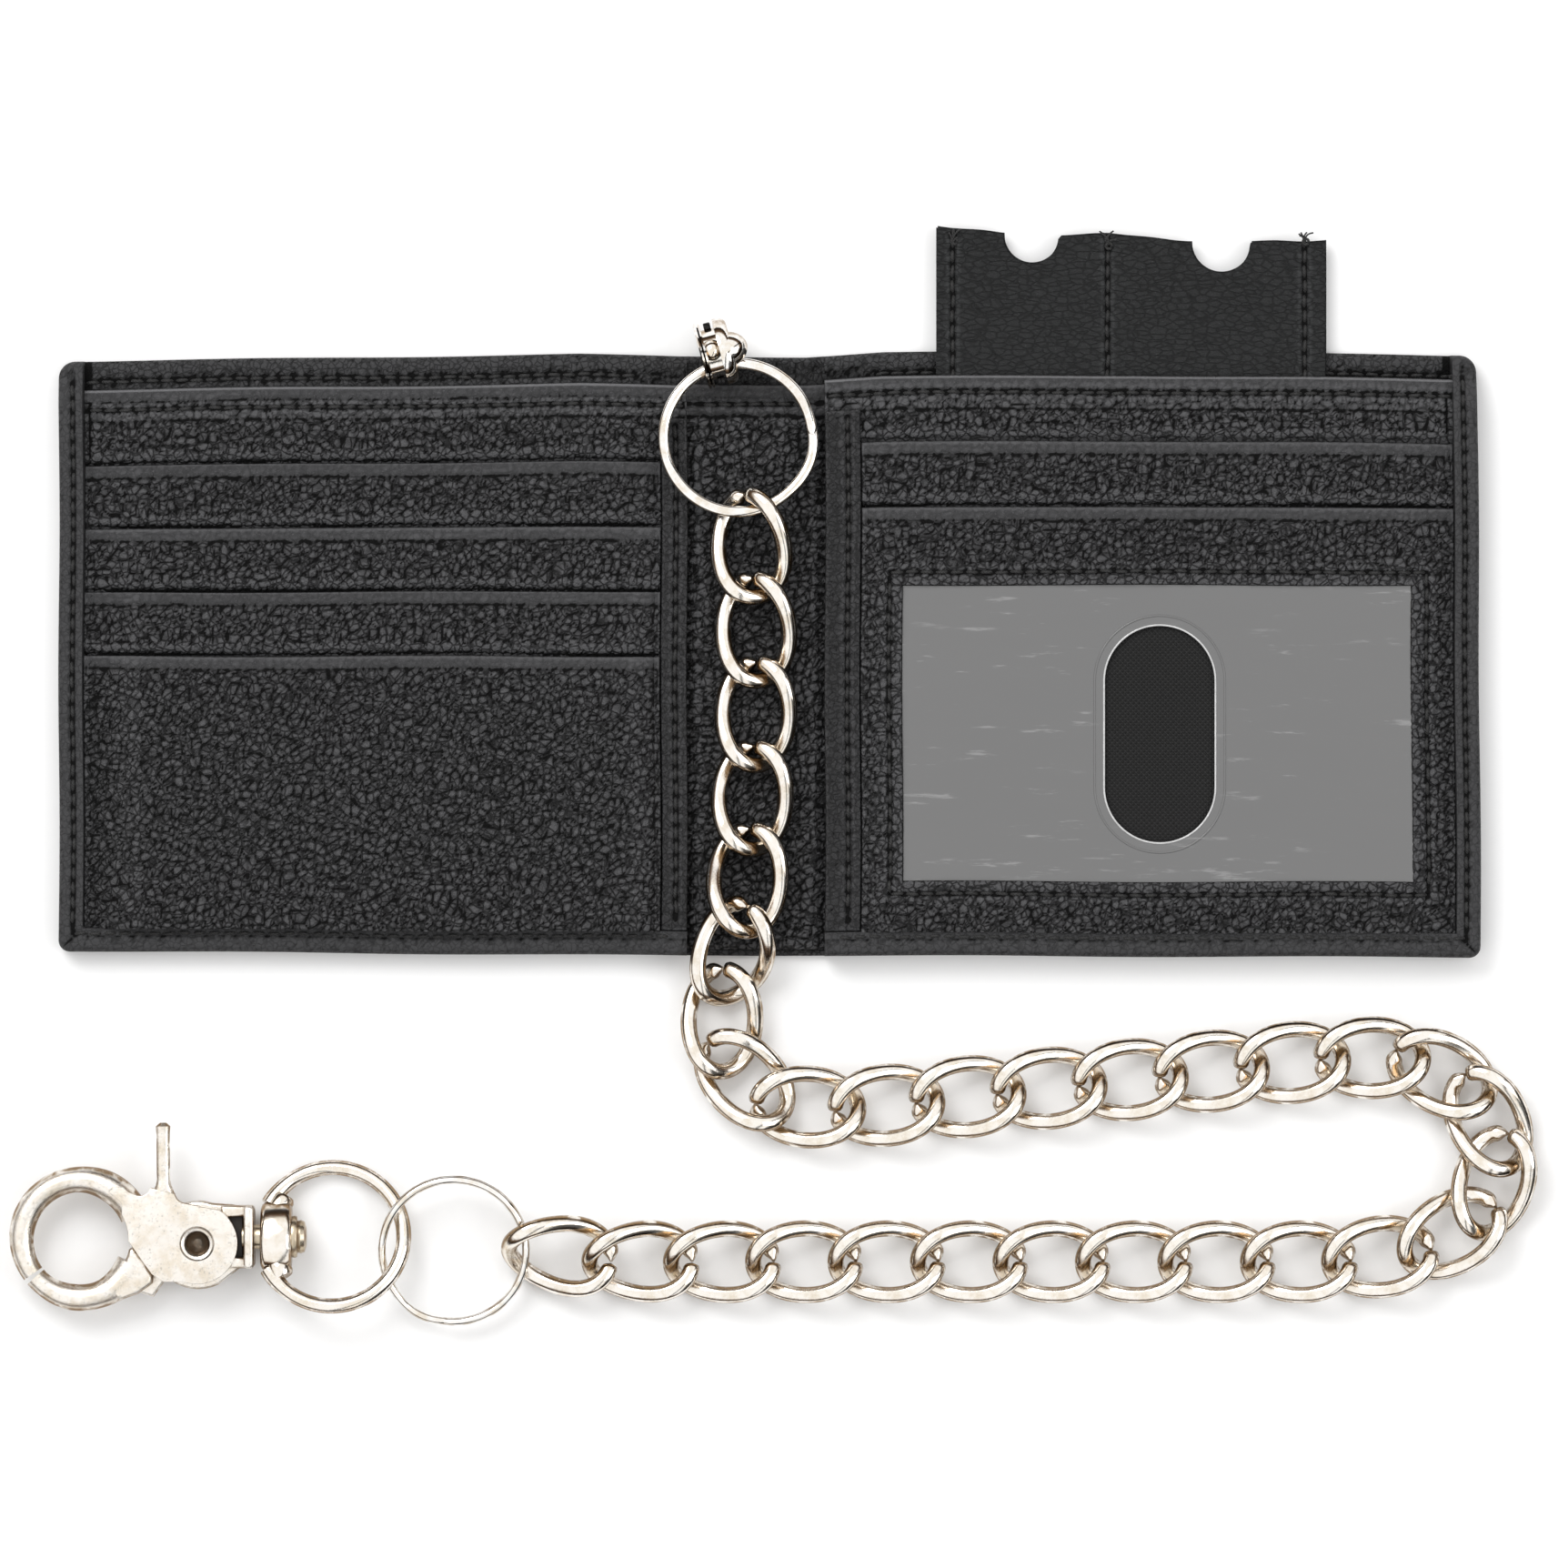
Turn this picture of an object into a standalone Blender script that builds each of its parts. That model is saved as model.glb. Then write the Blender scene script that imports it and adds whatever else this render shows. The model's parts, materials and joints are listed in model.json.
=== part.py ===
"""Chain wallet: an open leather bifold, a curb chain of separate links, and a swivelling trigger snap.

The wallet lies open and flat, with its card side up. X runs along the open wallet, Y towards the
mouth of the bill pockets, Z up. The spine's middle is at the origin and the outer leather at Z = 0.
Each part that moves has an empty on its joint's axis, and hangs on it.
"""

import math

import bmesh
import bpy
from mathutils import Euler, Matrix, Vector

MM = 0.001
SHARP_ANGLE = math.radians(35)

# Driving sizes, in millimetres.
CARD_DEPTH = 56.0           # a bank card is 54 mm deep
SLOT_STEP = 10.2
LEFT_WIDTH = 99.2
RIGHT_WIDTH = 103.2
GUTTER = 21.4               # width of the spine between the two halves
WALLET_HEIGHT = 95.0
SEAM_GAP = 0.3              # air between neighbouring pieces

COVER_THICK = 1.4
PLY = 0.7                   # one inner leather panel
LAYER = PLY + SEAM_GAP
HEM = 2.7                   # turned edge of the cover along the sides
BOTTOM_HEM = 3.6
TOP_STEP = 4.6              # the divider's edge sits this far below the cover's top edge
BINDING_LEFT = 4.1          # leather strip that closes the slots beside the gutter
BINDING_RIGHT = 5.6
RIM_ABOVE = 1.5             # the hem stands this far above the divider it encloses
WINDOW_X = (23.1, 103.1)
WINDOW_Y = (-35.6, 11.1)
THUMB_SLOT = (17.7, 34.5)

TAB = (-6.6, 47.6, 7.05)    # the middle of the grommet, on a tab that stands up off the spine
TAB_TILT = math.radians(15)
AXIS_OF_TAB = (math.cos(TAB_TILT), math.sin(TAB_TILT), 0)
TAB_HOLE = 4.35
EYELET_BORE = 3.7
FLANGE_RADIUS = 5.4
FLANGE_THICK = 0.7

SLEEVE_X = (28.4, 89.3)     # the key sleeve slides in the right half's bill pocket
SLEEVE_Y = (3.6, 65.6)
SLEEVE_NOTCHES = ((73.2, 4.6), (43.2, 4.3))   # (middle, radius)

RING_RADIUS = 11.65         # centre line of the wallet's 25 mm split ring
LINK_HALF_LENGTH = 8.1      # centre line of a curb link
LINK_HALF_WIDTH = 5.25
LINK_TWIST = 1.85           # how far a link's wire rises and dips
LINK_WIRE = 1.25            # wire radius
RING_CENTRE = (-2.85, 34.4, 6.55)
SNAP_RING_CENTRE = (-47.6, -93.6, 4.6)
SNAP_RING_RADIUS = 11.4

SNAP_Y = -91.4              # the line through the snap's shaft
SNAP_Z = 4.6
EYE_TILT = math.radians(-17)   # the ring has rolled a little about the shaft
EYE_RADIUS = 11.25
EYE_X = -66.75
DRUM_RADIUS = 5.6
SHAFT_RADIUS = 2.2
JAW = (-106.4, -91.7)
JAW_INNER = 7.3
JAW_OUTER = 11.3
TRIGGER_PIVOT = (-87.9, -92.4)
RIVET_RADIUS = 1.55
RIVET_BORE = 1.9

# The chain from the wallet's ring to the snap's ring, as runs of
# (links, heading, climb and roll in degrees, half the step from link to link).
CHAIN_START = (-1.4, 24.0, 6.6)
CHAIN_RUNS = [
    (1, -85, -3, 12, 6.6),
    (1, -88, -4, 6, 6.65),
    (1, -92, -0.5, 0, 6.65),
    (1, -93, 3, 0, 6.6),
    (1, -94, 8, 0, 6.4),
    (1, -108, -20.5, 0, 5.8),
    (1, -92, 0, 0, 5.5),
    (1, -46, 0, 0, 5.4),
    (1, -4, 0, 0, 6.1),
    (6, 6, 0, 0, 6.43),
    (1, 1, 0, 0, 6.2),
    (1, -28, 0, 0, 5.6),
    (1, -64, 0, 0, 5.3),
    (1, -107, 0, 0, 5.3),
    (1, -150, 0, 0, 5.8),
    (1, -173, 0, 0, 6.3),
    (7, -180, 0, 0, 6.5),
    (1, -180, 2, -6, 6.45),
    (1, 179, 3, -12, 6.4),
    (1, 171, 2, -18, 6.4),
]


# ---------------------------------------------------------------- scene and helpers

def clear_scene():
    for thing in list(bpy.data.objects):
        bpy.data.objects.remove(thing, do_unlink=True)


def new_collection(name):
    collection = bpy.data.collections.new(name)
    bpy.context.scene.collection.children.link(collection)
    return collection


def material(name, colour, roughness, metallic=0.0):
    made = bpy.data.materials.new(name)
    made.use_nodes = True
    shader = made.node_tree.nodes["Principled BSDF"]
    shader.inputs["Base Color"].default_value = (*colour, 1)
    shader.inputs["Roughness"].default_value = roughness
    shader.inputs["Metallic"].default_value = metallic
    made.diffuse_color = (*colour, 1)
    return made


def metres(point):
    return Vector(point) * MM


def place(thing, collection, look=None, parent=None):
    """Link an object to its collection, give it a material and hang it on its parent."""
    collection.objects.link(thing)
    if look:
        thing.data.materials.append(look)
    if parent:
        thing.parent = parent
        thing.matrix_parent_inverse = parent.matrix_world.inverted()
    return thing


def pivot(name, point, parent=None, turn=None):
    """An empty on a joint's axis."""
    empty = bpy.data.objects.new(name, None)
    empty.empty_display_size = 3 * MM
    parts.objects.link(empty)
    if turn is not None:
        empty.rotation_euler = turn
    empty.location = metres(point)
    bpy.context.view_layer.update()
    if parent:
        empty.parent = parent
        empty.matrix_parent_inverse = parent.matrix_world.inverted()
        bpy.context.view_layer.update()
    return empty


def arc(centre, radius, start, end, steps):
    """Points along a circle, from the start angle to the end angle in degrees."""
    angles = [math.radians(start + (end - start) * i / steps) for i in range(steps + 1)]
    return [(centre[0] + radius * math.cos(a), centre[1] + radius * math.sin(a)) for a in angles]


def rounded_box(x0, x1, y0, y1, radii, steps=4):
    """A rectangle's outline, its corners rounded by (lower left, lower right, upper right, upper left)."""
    a, b, c, d = radii
    return (arc((x0 + a, y0 + a), a, 180, 270, steps) + arc((x1 - b, y0 + b), b, 270, 360, steps)
            + arc((x1 - c, y1 - c), c, 0, 90, steps) + arc((x0 + d, y1 - d), d, 90, 180, steps))


def outline_curve(name, outlines, bottom, top):
    """A flat curve filled between its outlines and thickened from bottom to top."""
    data = bpy.data.curves.new(name, "CURVE")
    data.dimensions = "2D"
    data.fill_mode = "BOTH"
    data.extrude = (top - bottom) / 2 * MM
    for points in outlines:
        spline = data.splines.new("POLY")
        spline.points.add(len(points) - 1)
        for point, (x, y) in zip(spline.points, points):
            point.co = (x * MM, y * MM, 0, 1)
        spline.use_cyclic_u = True
    thing = bpy.data.objects.new(name, data)
    thing.location.z = (top + bottom) / 2 * MM
    return thing


def plate(name, outlines, bottom, top, look, parent=None):
    """A flat leather or plastic panel, with holes where it has more than one outline."""
    return place(outline_curve(name, outlines, bottom, top), parts, look, parent)


def wire_curve(name, points, radius, sides=8, closed=False):
    """A round wire through the points, as a curve object with filled ends."""
    data = bpy.data.curves.new(name, "CURVE")
    data.dimensions = "3D"
    data.bevel_depth = radius * MM
    data.bevel_resolution = (sides - 4) // 2
    data.use_fill_caps = not closed
    spline = data.splines.new("POLY")
    spline.points.add(len(points) - 1)
    for point, place_of in zip(spline.points, points):
        point.co = (*metres(place_of), 1)
    spline.use_cyclic_u = closed
    return bpy.data.objects.new(name, data)


def as_mesh(curve, collection, look=None, parent=None):
    """Turn a curve object into a welded mesh object with the same name and place."""
    collection.objects.link(curve)
    bpy.context.view_layer.update()
    ready = curve.evaluated_get(bpy.context.evaluated_depsgraph_get())
    mesh = bpy.data.meshes.new_from_object(ready)
    welded = bmesh.new()
    welded.from_mesh(mesh)
    bmesh.ops.remove_doubles(welded, verts=welded.verts, dist=0.001 * MM)
    bmesh.ops.recalc_face_normals(welded, faces=welded.faces)
    welded.to_mesh(mesh)
    welded.free()
    name, where = curve.name, curve.matrix_world.copy()
    bpy.data.objects.remove(curve, do_unlink=True)
    thing = bpy.data.objects.new(name, mesh)
    thing.matrix_world = where
    place(thing, collection, look)
    bpy.context.view_layer.update()
    if parent:
        thing.parent = parent
        thing.matrix_parent_inverse = parent.matrix_world.inverted()
    return thing


def mesh_solid(name, build, collection, look=None, parent=None):
    """A mesh object from a bmesh that the build function fills."""
    shape = bmesh.new()
    build(shape)
    mesh = bpy.data.meshes.new(name)
    shape.to_mesh(mesh)
    shape.free()
    return place(bpy.data.objects.new(name, mesh), collection, look, parent)


def block(name, x, y, z, collection, look=None, turn=0.0, centre=None):
    """A box from its limits on each axis, or turned about Z round its centre."""
    size = Vector((x[1] - x[0], y[1] - y[0], z[1] - z[0])) * MM
    middle = centre or (sum(x) / 2, sum(y) / 2, sum(z) / 2)

    def build(shape):
        bmesh.ops.create_cube(shape, size=1, matrix=Matrix.Diagonal((*size, 1)))

    thing = mesh_solid(name, build, collection, look)
    thing.location = metres(middle)
    thing.rotation_euler.z = turn
    return thing


def rod(name, radius, length, centre, axis, collection, look=None, squash=1.0, sides=24):
    """A cylinder along an axis, narrowed across Z by squash."""
    turn = Vector((0, 0, 1)).rotation_difference(Vector(axis)).to_matrix().to_4x4()
    flat = Matrix.Diagonal((1, 1, squash, 1))

    def build(shape):
        bmesh.ops.create_cone(shape, cap_ends=True, segments=sides, radius1=radius * MM,
                              radius2=radius * MM, depth=length * MM, matrix=flat @ turn)

    thing = mesh_solid(name, build, collection, look)
    thing.location = metres(centre)
    return thing


def turned(name, profile, collection, look=None, steps=24, parent=None):
    """A ring or pin turned about its own Z axis from a closed profile of (radius, height)."""

    def build(shape):
        corners = [shape.verts.new((r * MM, 0, h * MM)) for r, h in profile]
        on_axis = [r == 0 for r, _ in profile]
        for i, j in zip(range(-1, len(corners) - 1), range(len(corners))):
            if not (on_axis[i] and on_axis[j]):
                shape.edges.new((corners[j], corners[i]))

    thing = mesh_solid(name, build, collection, look, parent)
    screw = thing.modifiers.new("turn", "SCREW")
    screw.axis = "Z"
    screw.steps = steps
    screw.render_steps = steps
    screw.use_merge_vertices = True
    screw.merge_threshold = 0.00001
    return thing


def combine(thing, other, operation):
    """Join another solid to this one, or cut it away, and keep the result as a modifier."""
    other.hide_render = True
    other.display_type = "WIRE"
    change = thing.modifiers.new(operation.lower(), "BOOLEAN")
    change.operation = operation
    change.solver = "EXACT"
    change.object = other
    return thing


def hang(thing, parent):
    """Hang an object on a pivot without moving it."""
    bpy.context.view_layer.update()
    thing.parent = parent
    thing.matrix_parent_inverse = parent.matrix_world.inverted()
    return thing


# ---------------------------------------------------------------- the leather halves

def levels(first, count, thick=PLY):
    """The bottom and top of each panel in a stack."""
    return [(first + LAYER * i, first + LAYER * i + thick) for i in range(count)]


def cover(name, side, width, rim_top, pivot_of):
    """An outer cover with its turned hem standing along the far side and the bottom."""
    near, far = GUTTER / 2 + SEAM_GAP / 2, GUTTER / 2 + width
    x0, x1 = (near, far) if side > 0 else (-far, -near)
    half = WALLET_HEIGHT / 2
    radii = (0.6, 2.4, 3.0, 0.6) if side > 0 else (2.4, 0.6, 0.6, 3.0)
    outer = outline_curve(name, [rounded_box(x0, x1, -half, half, radii)], 0, rim_top)
    thing = as_mesh(outer, parts, leather, pivot_of)
    inner_x = (near - 5, far - HEM) if side > 0 else (-far + HEM, -near + 5)
    hollow = block(name + "_hollow", inner_x, (-half + BOTTOM_HEM, half + 5),
                   (COVER_THICK, rim_top + 5), cutters)
    return combine(thing, hollow, "DIFFERENCE")


def panel(name, side, width, bottom_y, top_y, level, look, pivot_of, holes=(), inset=0.0):
    """A panel that fills its half from the far hem to the gutter, less an inset at the gutter."""
    far = GUTTER / 2 + width - HEM - SEAM_GAP
    near = GUTTER / 2 + SEAM_GAP / 2 + inset
    x0, x1 = (near, far) if side > 0 else (-far, -near)
    outlines = [rounded_box(x0, x1, bottom_y, top_y, (0.5,) * 4, 2), *holes]
    return plate(name, outlines, level[0], level[1], look, pivot_of)


def left_half():
    """The cover, the bill divider, four stepped card pockets and the binding strip."""
    rim_top = COVER_THICK + SEAM_GAP + PLY + RIM_ABOVE
    cover("cover_left", -1, LEFT_WIDTH, rim_top, left_pivot)
    floor = COVER_THICK + SEAM_GAP
    bottom = -WALLET_HEIGHT / 2 + BOTTOM_HEM + SEAM_GAP
    top = WALLET_HEIGHT / 2 - TOP_STEP
    panel("divider_left", -1, LEFT_WIDTH, bottom, top, (floor, floor + PLY), leather, left_pivot)
    first_slot = top - SLOT_STEP * 1.2
    for number, level in enumerate(levels(floor + LAYER, 4)):
        edge = first_slot - SLOT_STEP * number
        foot = max(bottom, edge - CARD_DEPTH)
        panel(f"card_pocket_left_{number + 1}", -1, LEFT_WIDTH, foot, edge, level, leather,
              left_pivot, inset=BINDING_LEFT + SEAM_GAP)
    near = -GUTTER / 2 - SEAM_GAP / 2
    strip = rounded_box(near - BINDING_LEFT, near, bottom, top, (0.5,) * 4, 2)
    plate("binding_left", [strip], floor + LAYER, floor + LAYER + 1.5, leather, left_pivot)


def right_half():
    """The cover, the key sleeve, the bill divider, a card pocket and the card window."""
    floor = COVER_THICK + SEAM_GAP
    divider = floor + 2 * LAYER
    cover("cover_right", 1, RIGHT_WIDTH, divider + PLY + RIM_ABOVE, None)
    bottom = -WALLET_HEIGHT / 2 + BOTTOM_HEM + SEAM_GAP
    top = WALLET_HEIGHT / 2 - TOP_STEP + 0.8
    panel("divider_right", 1, RIGHT_WIDTH, bottom, top, (divider, divider + PLY), leather, None)
    inset = BINDING_RIGHT + SEAM_GAP
    slot = top - SLOT_STEP
    pocket, lining, film, frame = levels(divider + LAYER, 4)
    panel("card_pocket_right", 1, RIGHT_WIDTH, slot - CARD_DEPTH, slot, pocket, leather, None,
          inset=inset)
    window_top = slot - SLOT_STEP
    panel("window_lining", 1, RIGHT_WIDTH, bottom, window_top - 1.5, (lining[0], lining[0] + 0.4),
          nylon, None, inset=inset)
    film_outline = rounded_box(*WINDOW_X, *WINDOW_Y, (0.5,) * 4, 2)
    grown = rounded_box(WINDOW_X[0] - 3, WINDOW_X[1] + 3, WINDOW_Y[0] - 3, WINDOW_Y[1] + 3,
                        (0.5,) * 4, 2)
    middle = (sum(WINDOW_X) / 2 + 0.4, sum(WINDOW_Y) / 2)
    half_x, half_y = THUMB_SLOT[0] / 2, THUMB_SLOT[1] / 2
    slot_outline = rounded_box(middle[0] - half_x, middle[0] + half_x, middle[1] - half_y,
                               middle[1] + half_y, (half_x,) * 4, 8)
    plate("window_film", [grown, slot_outline], film[0], film[0] + 0.3, clear_film)
    panel("window_frame", 1, RIGHT_WIDTH, bottom, window_top, frame, leather, None,
          holes=[film_outline], inset=inset)
    near = GUTTER / 2 + SEAM_GAP / 2
    strip = rounded_box(near, near + BINDING_RIGHT, bottom, top, (0.5,) * 4, 2)
    plate("binding_right", [strip], divider + LAYER, divider + LAYER + 1.2, leather)


def spine():
    """The gutter leather, with a tab at its top that stands up round the grommet."""
    half = GUTTER / 2 - SEAM_GAP / 2
    tall = WALLET_HEIGHT / 2
    base = outline_curve("spine", [rounded_box(-half, half, -tall, tall, (0.6,) * 4, 2)],
                         0, COVER_THICK)
    thing = as_mesh(base, parts, gutter_leather, spine_pivot)
    tab = block("spine_tab", (0, COVER_THICK), (0, 12.5), (0, 12.2), cutters, turn=TAB_TILT,
                centre=(TAB[0], TAB[1], 6.9))
    combine(thing, tab, "UNION")
    hole = rod("tab_hole", TAB_HOLE, 8, TAB, AXIS_OF_TAB, cutters)
    combine(thing, hole, "DIFFERENCE")


def grommet():
    """A flanged eyelet through the tab and the washer it is rolled over."""
    along = Vector((0, 0, 1)).rotation_difference(Vector(AXIS_OF_TAB)).to_euler()
    side = COVER_THICK / 2 + SEAM_GAP
    tube = EYELET_BORE + 0.35
    eyelet = [(EYELET_BORE, -side - FLANGE_THICK), (FLANGE_RADIUS, -side - FLANGE_THICK),
              (FLANGE_RADIUS, -side), (tube, -side), (tube, side + 1.1), (EYELET_BORE, side + 1.1)]
    washer = [(TAB_HOLE, side), (FLANGE_RADIUS, side), (FLANGE_RADIUS - 0.2, side + FLANGE_THICK),
              (TAB_HOLE + 0.35, side + 1.2), (TAB_HOLE, side + 1.2)]
    for name, profile in (("grommet_eyelet", eyelet), ("grommet_washer", washer)):
        thing = turned(name, profile, parts, bright_steel)
        thing.rotation_euler = along
        thing.location = metres(TAB)
        hang(thing, spine_pivot)


def key_sleeve():
    """Two leaves sewn together at the sides and the middle, with thumb notches in the top edge."""
    x0, x1 = SLEEVE_X
    foot, top = SLEEVE_Y
    outline = [(x0, foot), (x1 + 0.4, foot), (x1, top)]
    for centre, radius in SLEEVE_NOTCHES:
        outline += arc((centre, top + 0.6), radius, -10, -170, 8)
    outline += [(x0, top + 1.4)]
    for name, level in zip(("key_sleeve_back", "key_sleeve_front"), levels(COVER_THICK + SEAM_GAP, 2)):
        plate(name, [outline], level[0], level[1], sleeve_leather, sleeve_pivot)


# ---------------------------------------------------------------- rings and chain

def split_ring(name, radius, radial, axial, centre, tilt, start, look, parent):
    """A flattened wire wound nearly twice round, tilted by (about X, about Y) degrees."""
    turns, per_turn = 1.85, 26
    count = round(turns * per_turn)
    flat = axial / radial
    rise = (axial + 0.12) / flat
    points = []
    for i in range(count + 1):
        angle = math.radians(start) + 2 * math.pi * i / per_turn
        height = rise * (i / per_turn - turns / 2)
        points.append((radius * math.cos(angle), radius * math.sin(angle), height))
    ring = wire_curve(name, points, radial / 2, sides=6)
    ring.scale.z = flat
    ring.rotation_euler = (math.radians(tilt[0]), math.radians(tilt[1]), 0)
    ring.location = metres(centre)
    place(ring, parts, look)
    return hang(ring, parent)


def link_curve():
    """One curb link: a closed loop of wire whose sides are twisted out of flat."""
    points = []
    for i in range(20):
        angle = 2 * math.pi * (i + 0.5) / 20
        points.append((LINK_HALF_LENGTH * math.cos(angle), LINK_HALF_WIDTH * math.sin(angle),
                       -LINK_TWIST * math.sin(2 * angle)))
    loop = wire_curve("link", points, LINK_WIRE, sides=6, closed=True)
    data = loop.data
    data.materials.append(nickel)
    bpy.data.objects.remove(loop)
    return data


def chain(parent):
    """The links, each hung on a pivot where it meets the link before it."""
    data = link_curve()
    point = Vector(CHAIN_START)
    number = 0
    for links, heading, climb, roll, reach in CHAIN_RUNS:
        turn = Euler((math.radians(roll), math.radians(-climb), math.radians(heading)))
        along = turn.to_matrix() @ Vector((1, 0, 0))
        for _ in range(links):
            number += 1
            parent = pivot(f"link_pivot_{number:02d}", point, parent, turn)
            link = bpy.data.objects.new(f"chain_link_{number:02d}", data)
            link.rotation_euler = turn
            link.location = metres(point + along * reach)
            parts.objects.link(link)
            hang(link, parent)
            point = point + along * reach * 2
    return parent


# ---------------------------------------------------------------- the snap

def swivel_eye(parent):
    """A cast ring with a block that the snap's shaft turns in."""
    circle = [(x, y, 0) for x, y in arc((0, 0), EYE_RADIUS, 0, 360, 32)[:-1]]
    loop = wire_curve("swivel_eye", circle, LINK_WIRE, sides=8, closed=True)
    loop.location = metres((EYE_X, SNAP_Y, SNAP_Z))
    loop.rotation_euler.x = EYE_TILT
    ring = as_mesh(loop, parts, nickel)
    boss = rod("swivel_boss", DRUM_RADIUS, 4.9, (-75.55, SNAP_Y, SNAP_Z), (1, 0, 0), cutters, squash=0.66)
    boss.rotation_euler.x = EYE_TILT
    combine(ring, boss, "UNION")
    trim = block("swivel_trim", (-84, -78), (SNAP_Y - 7, SNAP_Y + 7), (-4, 12), cutters)
    combine(ring, trim, "DIFFERENCE")
    bore = rod("swivel_bore", SHAFT_RADIUS + 0.4, 12, (-76, SNAP_Y, SNAP_Z), (1, 0, 0), cutters)
    combine(ring, bore, "DIFFERENCE")
    for thing in (ring, boss, trim, bore):
        hang(thing, parent)


def snap_shaft(parent):
    """The shaft from the snap's flange through the block, with its peened head inside the ring."""
    profile = [(0, -80.9), (SHAFT_RADIUS, -80.9), (SHAFT_RADIUS, -72.8), (3.2, -72.8), (3.2, -71.3),
               (2.5, -70.8), (0, -70.8)]
    shift = 76.0
    pin = turned("swivel_shaft", [(r, h + shift) for r, h in profile], parts, nickel, steps=16)
    pin.rotation_euler = Vector((0, 0, 1)).rotation_difference(Vector((1, 0, 0))).to_euler()
    pin.location = metres((-shift, SNAP_Y, SNAP_Z))
    hang(pin, parent)


def snap_body(parent):
    """The lower jaw, the cheek under the trigger, and the neck with its flange."""
    px, py = TRIGGER_PIVOT
    jaw = (arc(JAW, JAW_OUTER, 219, 318, 12) + [(-94.6, -99.0), (-98.6, -93.0)]
           + arc(JAW, JAW_INNER, 346, 219, 14))
    thing = as_mesh(outline_curve("snap_body", [jaw], SNAP_Z - 2.2, SNAP_Z + 2.2), parts, cast_nickel)
    cheek = arc((px, py), 6.2, 80, 170, 6) + [(-96.5, -93.6), (-100.5, -100.5), (-97.0, -100.6)]
    cheek += arc((px, py), 6.9, 225, 300, 5)
    cheek += [(-80.4, SNAP_Y - 4.6), (-80.4, SNAP_Y + 4.6), (-82.5, SNAP_Y + 4.6)]
    low = as_mesh(outline_curve("snap_cheek", [cheek], SNAP_Z - 3.2, SNAP_Z - 0.9), cutters)
    combine(thing, low, "UNION")
    neck = block("snap_neck", (-81.2, -79.0), (SNAP_Y - 4.6, SNAP_Y + 4.6), (SNAP_Z - 3.3, SNAP_Z + 3.3),
                 cutters)
    combine(thing, neck, "UNION")
    shaft_bore = rod("neck_bore", SHAFT_RADIUS + 0.3, 6, (-80, SNAP_Y, SNAP_Z), (1, 0, 0), cutters)
    combine(thing, shaft_bore, "DIFFERENCE")
    bore = rod("cheek_bore", RIVET_BORE, 12, (px, py, SNAP_Z), (0, 0, 1), cutters)
    combine(thing, bore, "DIFFERENCE")
    for piece in (thing, low, neck, shaft_bore, bore):
        hang(piece, parent)


def trigger(parent):
    """The sprung upper jaw, its round plate over the cheek, and the thumb lever."""
    px, py = TRIGGER_PIVOT
    nose = arc(JAW, JAW_INNER, 214, 22, 18)
    back = arc(JAW, JAW_OUTER, 44, 214, 16)
    jaw = nose + [(-96.6, -88.6), (-96.4, -84.6)] + back
    thing = as_mesh(outline_curve("trigger", [jaw], SNAP_Z - 2.2, SNAP_Z + 2.2), parts, cast_nickel)
    lever = [(-99.5, -89.5), (-98.9, -92.2), (-94.3, -98.0)] + arc((px, py), 6.3, 232, 420, 16)
    lever += [(-90.9, -85.0), (-92.0, -82.6), (-92.2, -73.1), (-94.4, -73.1), (-94.5, -82.6),
              (-97.0, -84.2)]
    top = as_mesh(outline_curve("trigger_plate", [lever], SNAP_Z + 0.7, SNAP_Z + 3.1), cutters)
    combine(thing, top, "UNION")
    bore = rod("trigger_bore", RIVET_BORE, 12, (px, py, SNAP_Z), (0, 0, 1), cutters)
    combine(thing, bore, "DIFFERENCE")
    for piece in (thing, top, bore):
        hang(piece, parent)


def trigger_rivet(parent):
    """The rivet through the cheek and the trigger, dished at its top end."""
    profile = [(0, -3.1), (RIVET_RADIUS, -3.1), (RIVET_RADIUS, 2.9), (1.1, 2.9), (0.6, 2.2), (0, 2.0)]
    pin = turned("trigger_rivet", profile, parts, dark_steel, steps=16)
    pin.location = metres((*TRIGGER_PIVOT, SNAP_Z))
    hang(pin, parent)


def trigger_spring(parent):
    """Two turns of torsion spring round the rivet, between the cheek and the trigger."""
    points = []
    for i in range(37):
        angle = 2 * math.pi * i / 18
        points.append((2.5 * math.cos(angle), 2.5 * math.sin(angle), -0.42 + 0.64 * i / 36))
    spring = wire_curve("trigger_spring", points, 0.2, sides=6)
    spring.location = metres((*TRIGGER_PIVOT, SNAP_Z))
    place(spring, parts, dark_steel)
    hang(spring, parent)


# ---------------------------------------------------------------- assembly

clear_scene()
parts = new_collection("chain_wallet")
cutters = new_collection("cutters")

leather = material("black_leather", (0.030, 0.030, 0.032), 0.55)
gutter_leather = material("gutter_leather", (0.018, 0.018, 0.020), 0.6)
sleeve_leather = material("sleeve_leather", (0.035, 0.036, 0.038), 0.5)
nylon = material("black_nylon", (0.020, 0.020, 0.021), 0.85)
clear_film = material("grey_film", (0.21, 0.21, 0.21), 0.3)
nickel = material("nickel", (0.80, 0.77, 0.72), 0.2, 1.0)
cast_nickel = material("cast_nickel", (0.76, 0.74, 0.70), 0.32, 1.0)
bright_steel = material("bright_steel", (0.86, 0.85, 0.83), 0.12, 1.0)
dark_steel = material("dark_steel", (0.20, 0.16, 0.13), 0.45, 1.0)

spine_pivot = pivot("spine_pivot", (GUTTER / 2, 0, COVER_THICK))
left_pivot = pivot("left_pivot", (-GUTTER / 2, 0, COVER_THICK), spine_pivot)
sleeve_pivot = pivot("sleeve_pivot", (58.8, 34.6, 2.5))

left_half()
right_half()
spine()
grommet()
key_sleeve()

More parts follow.
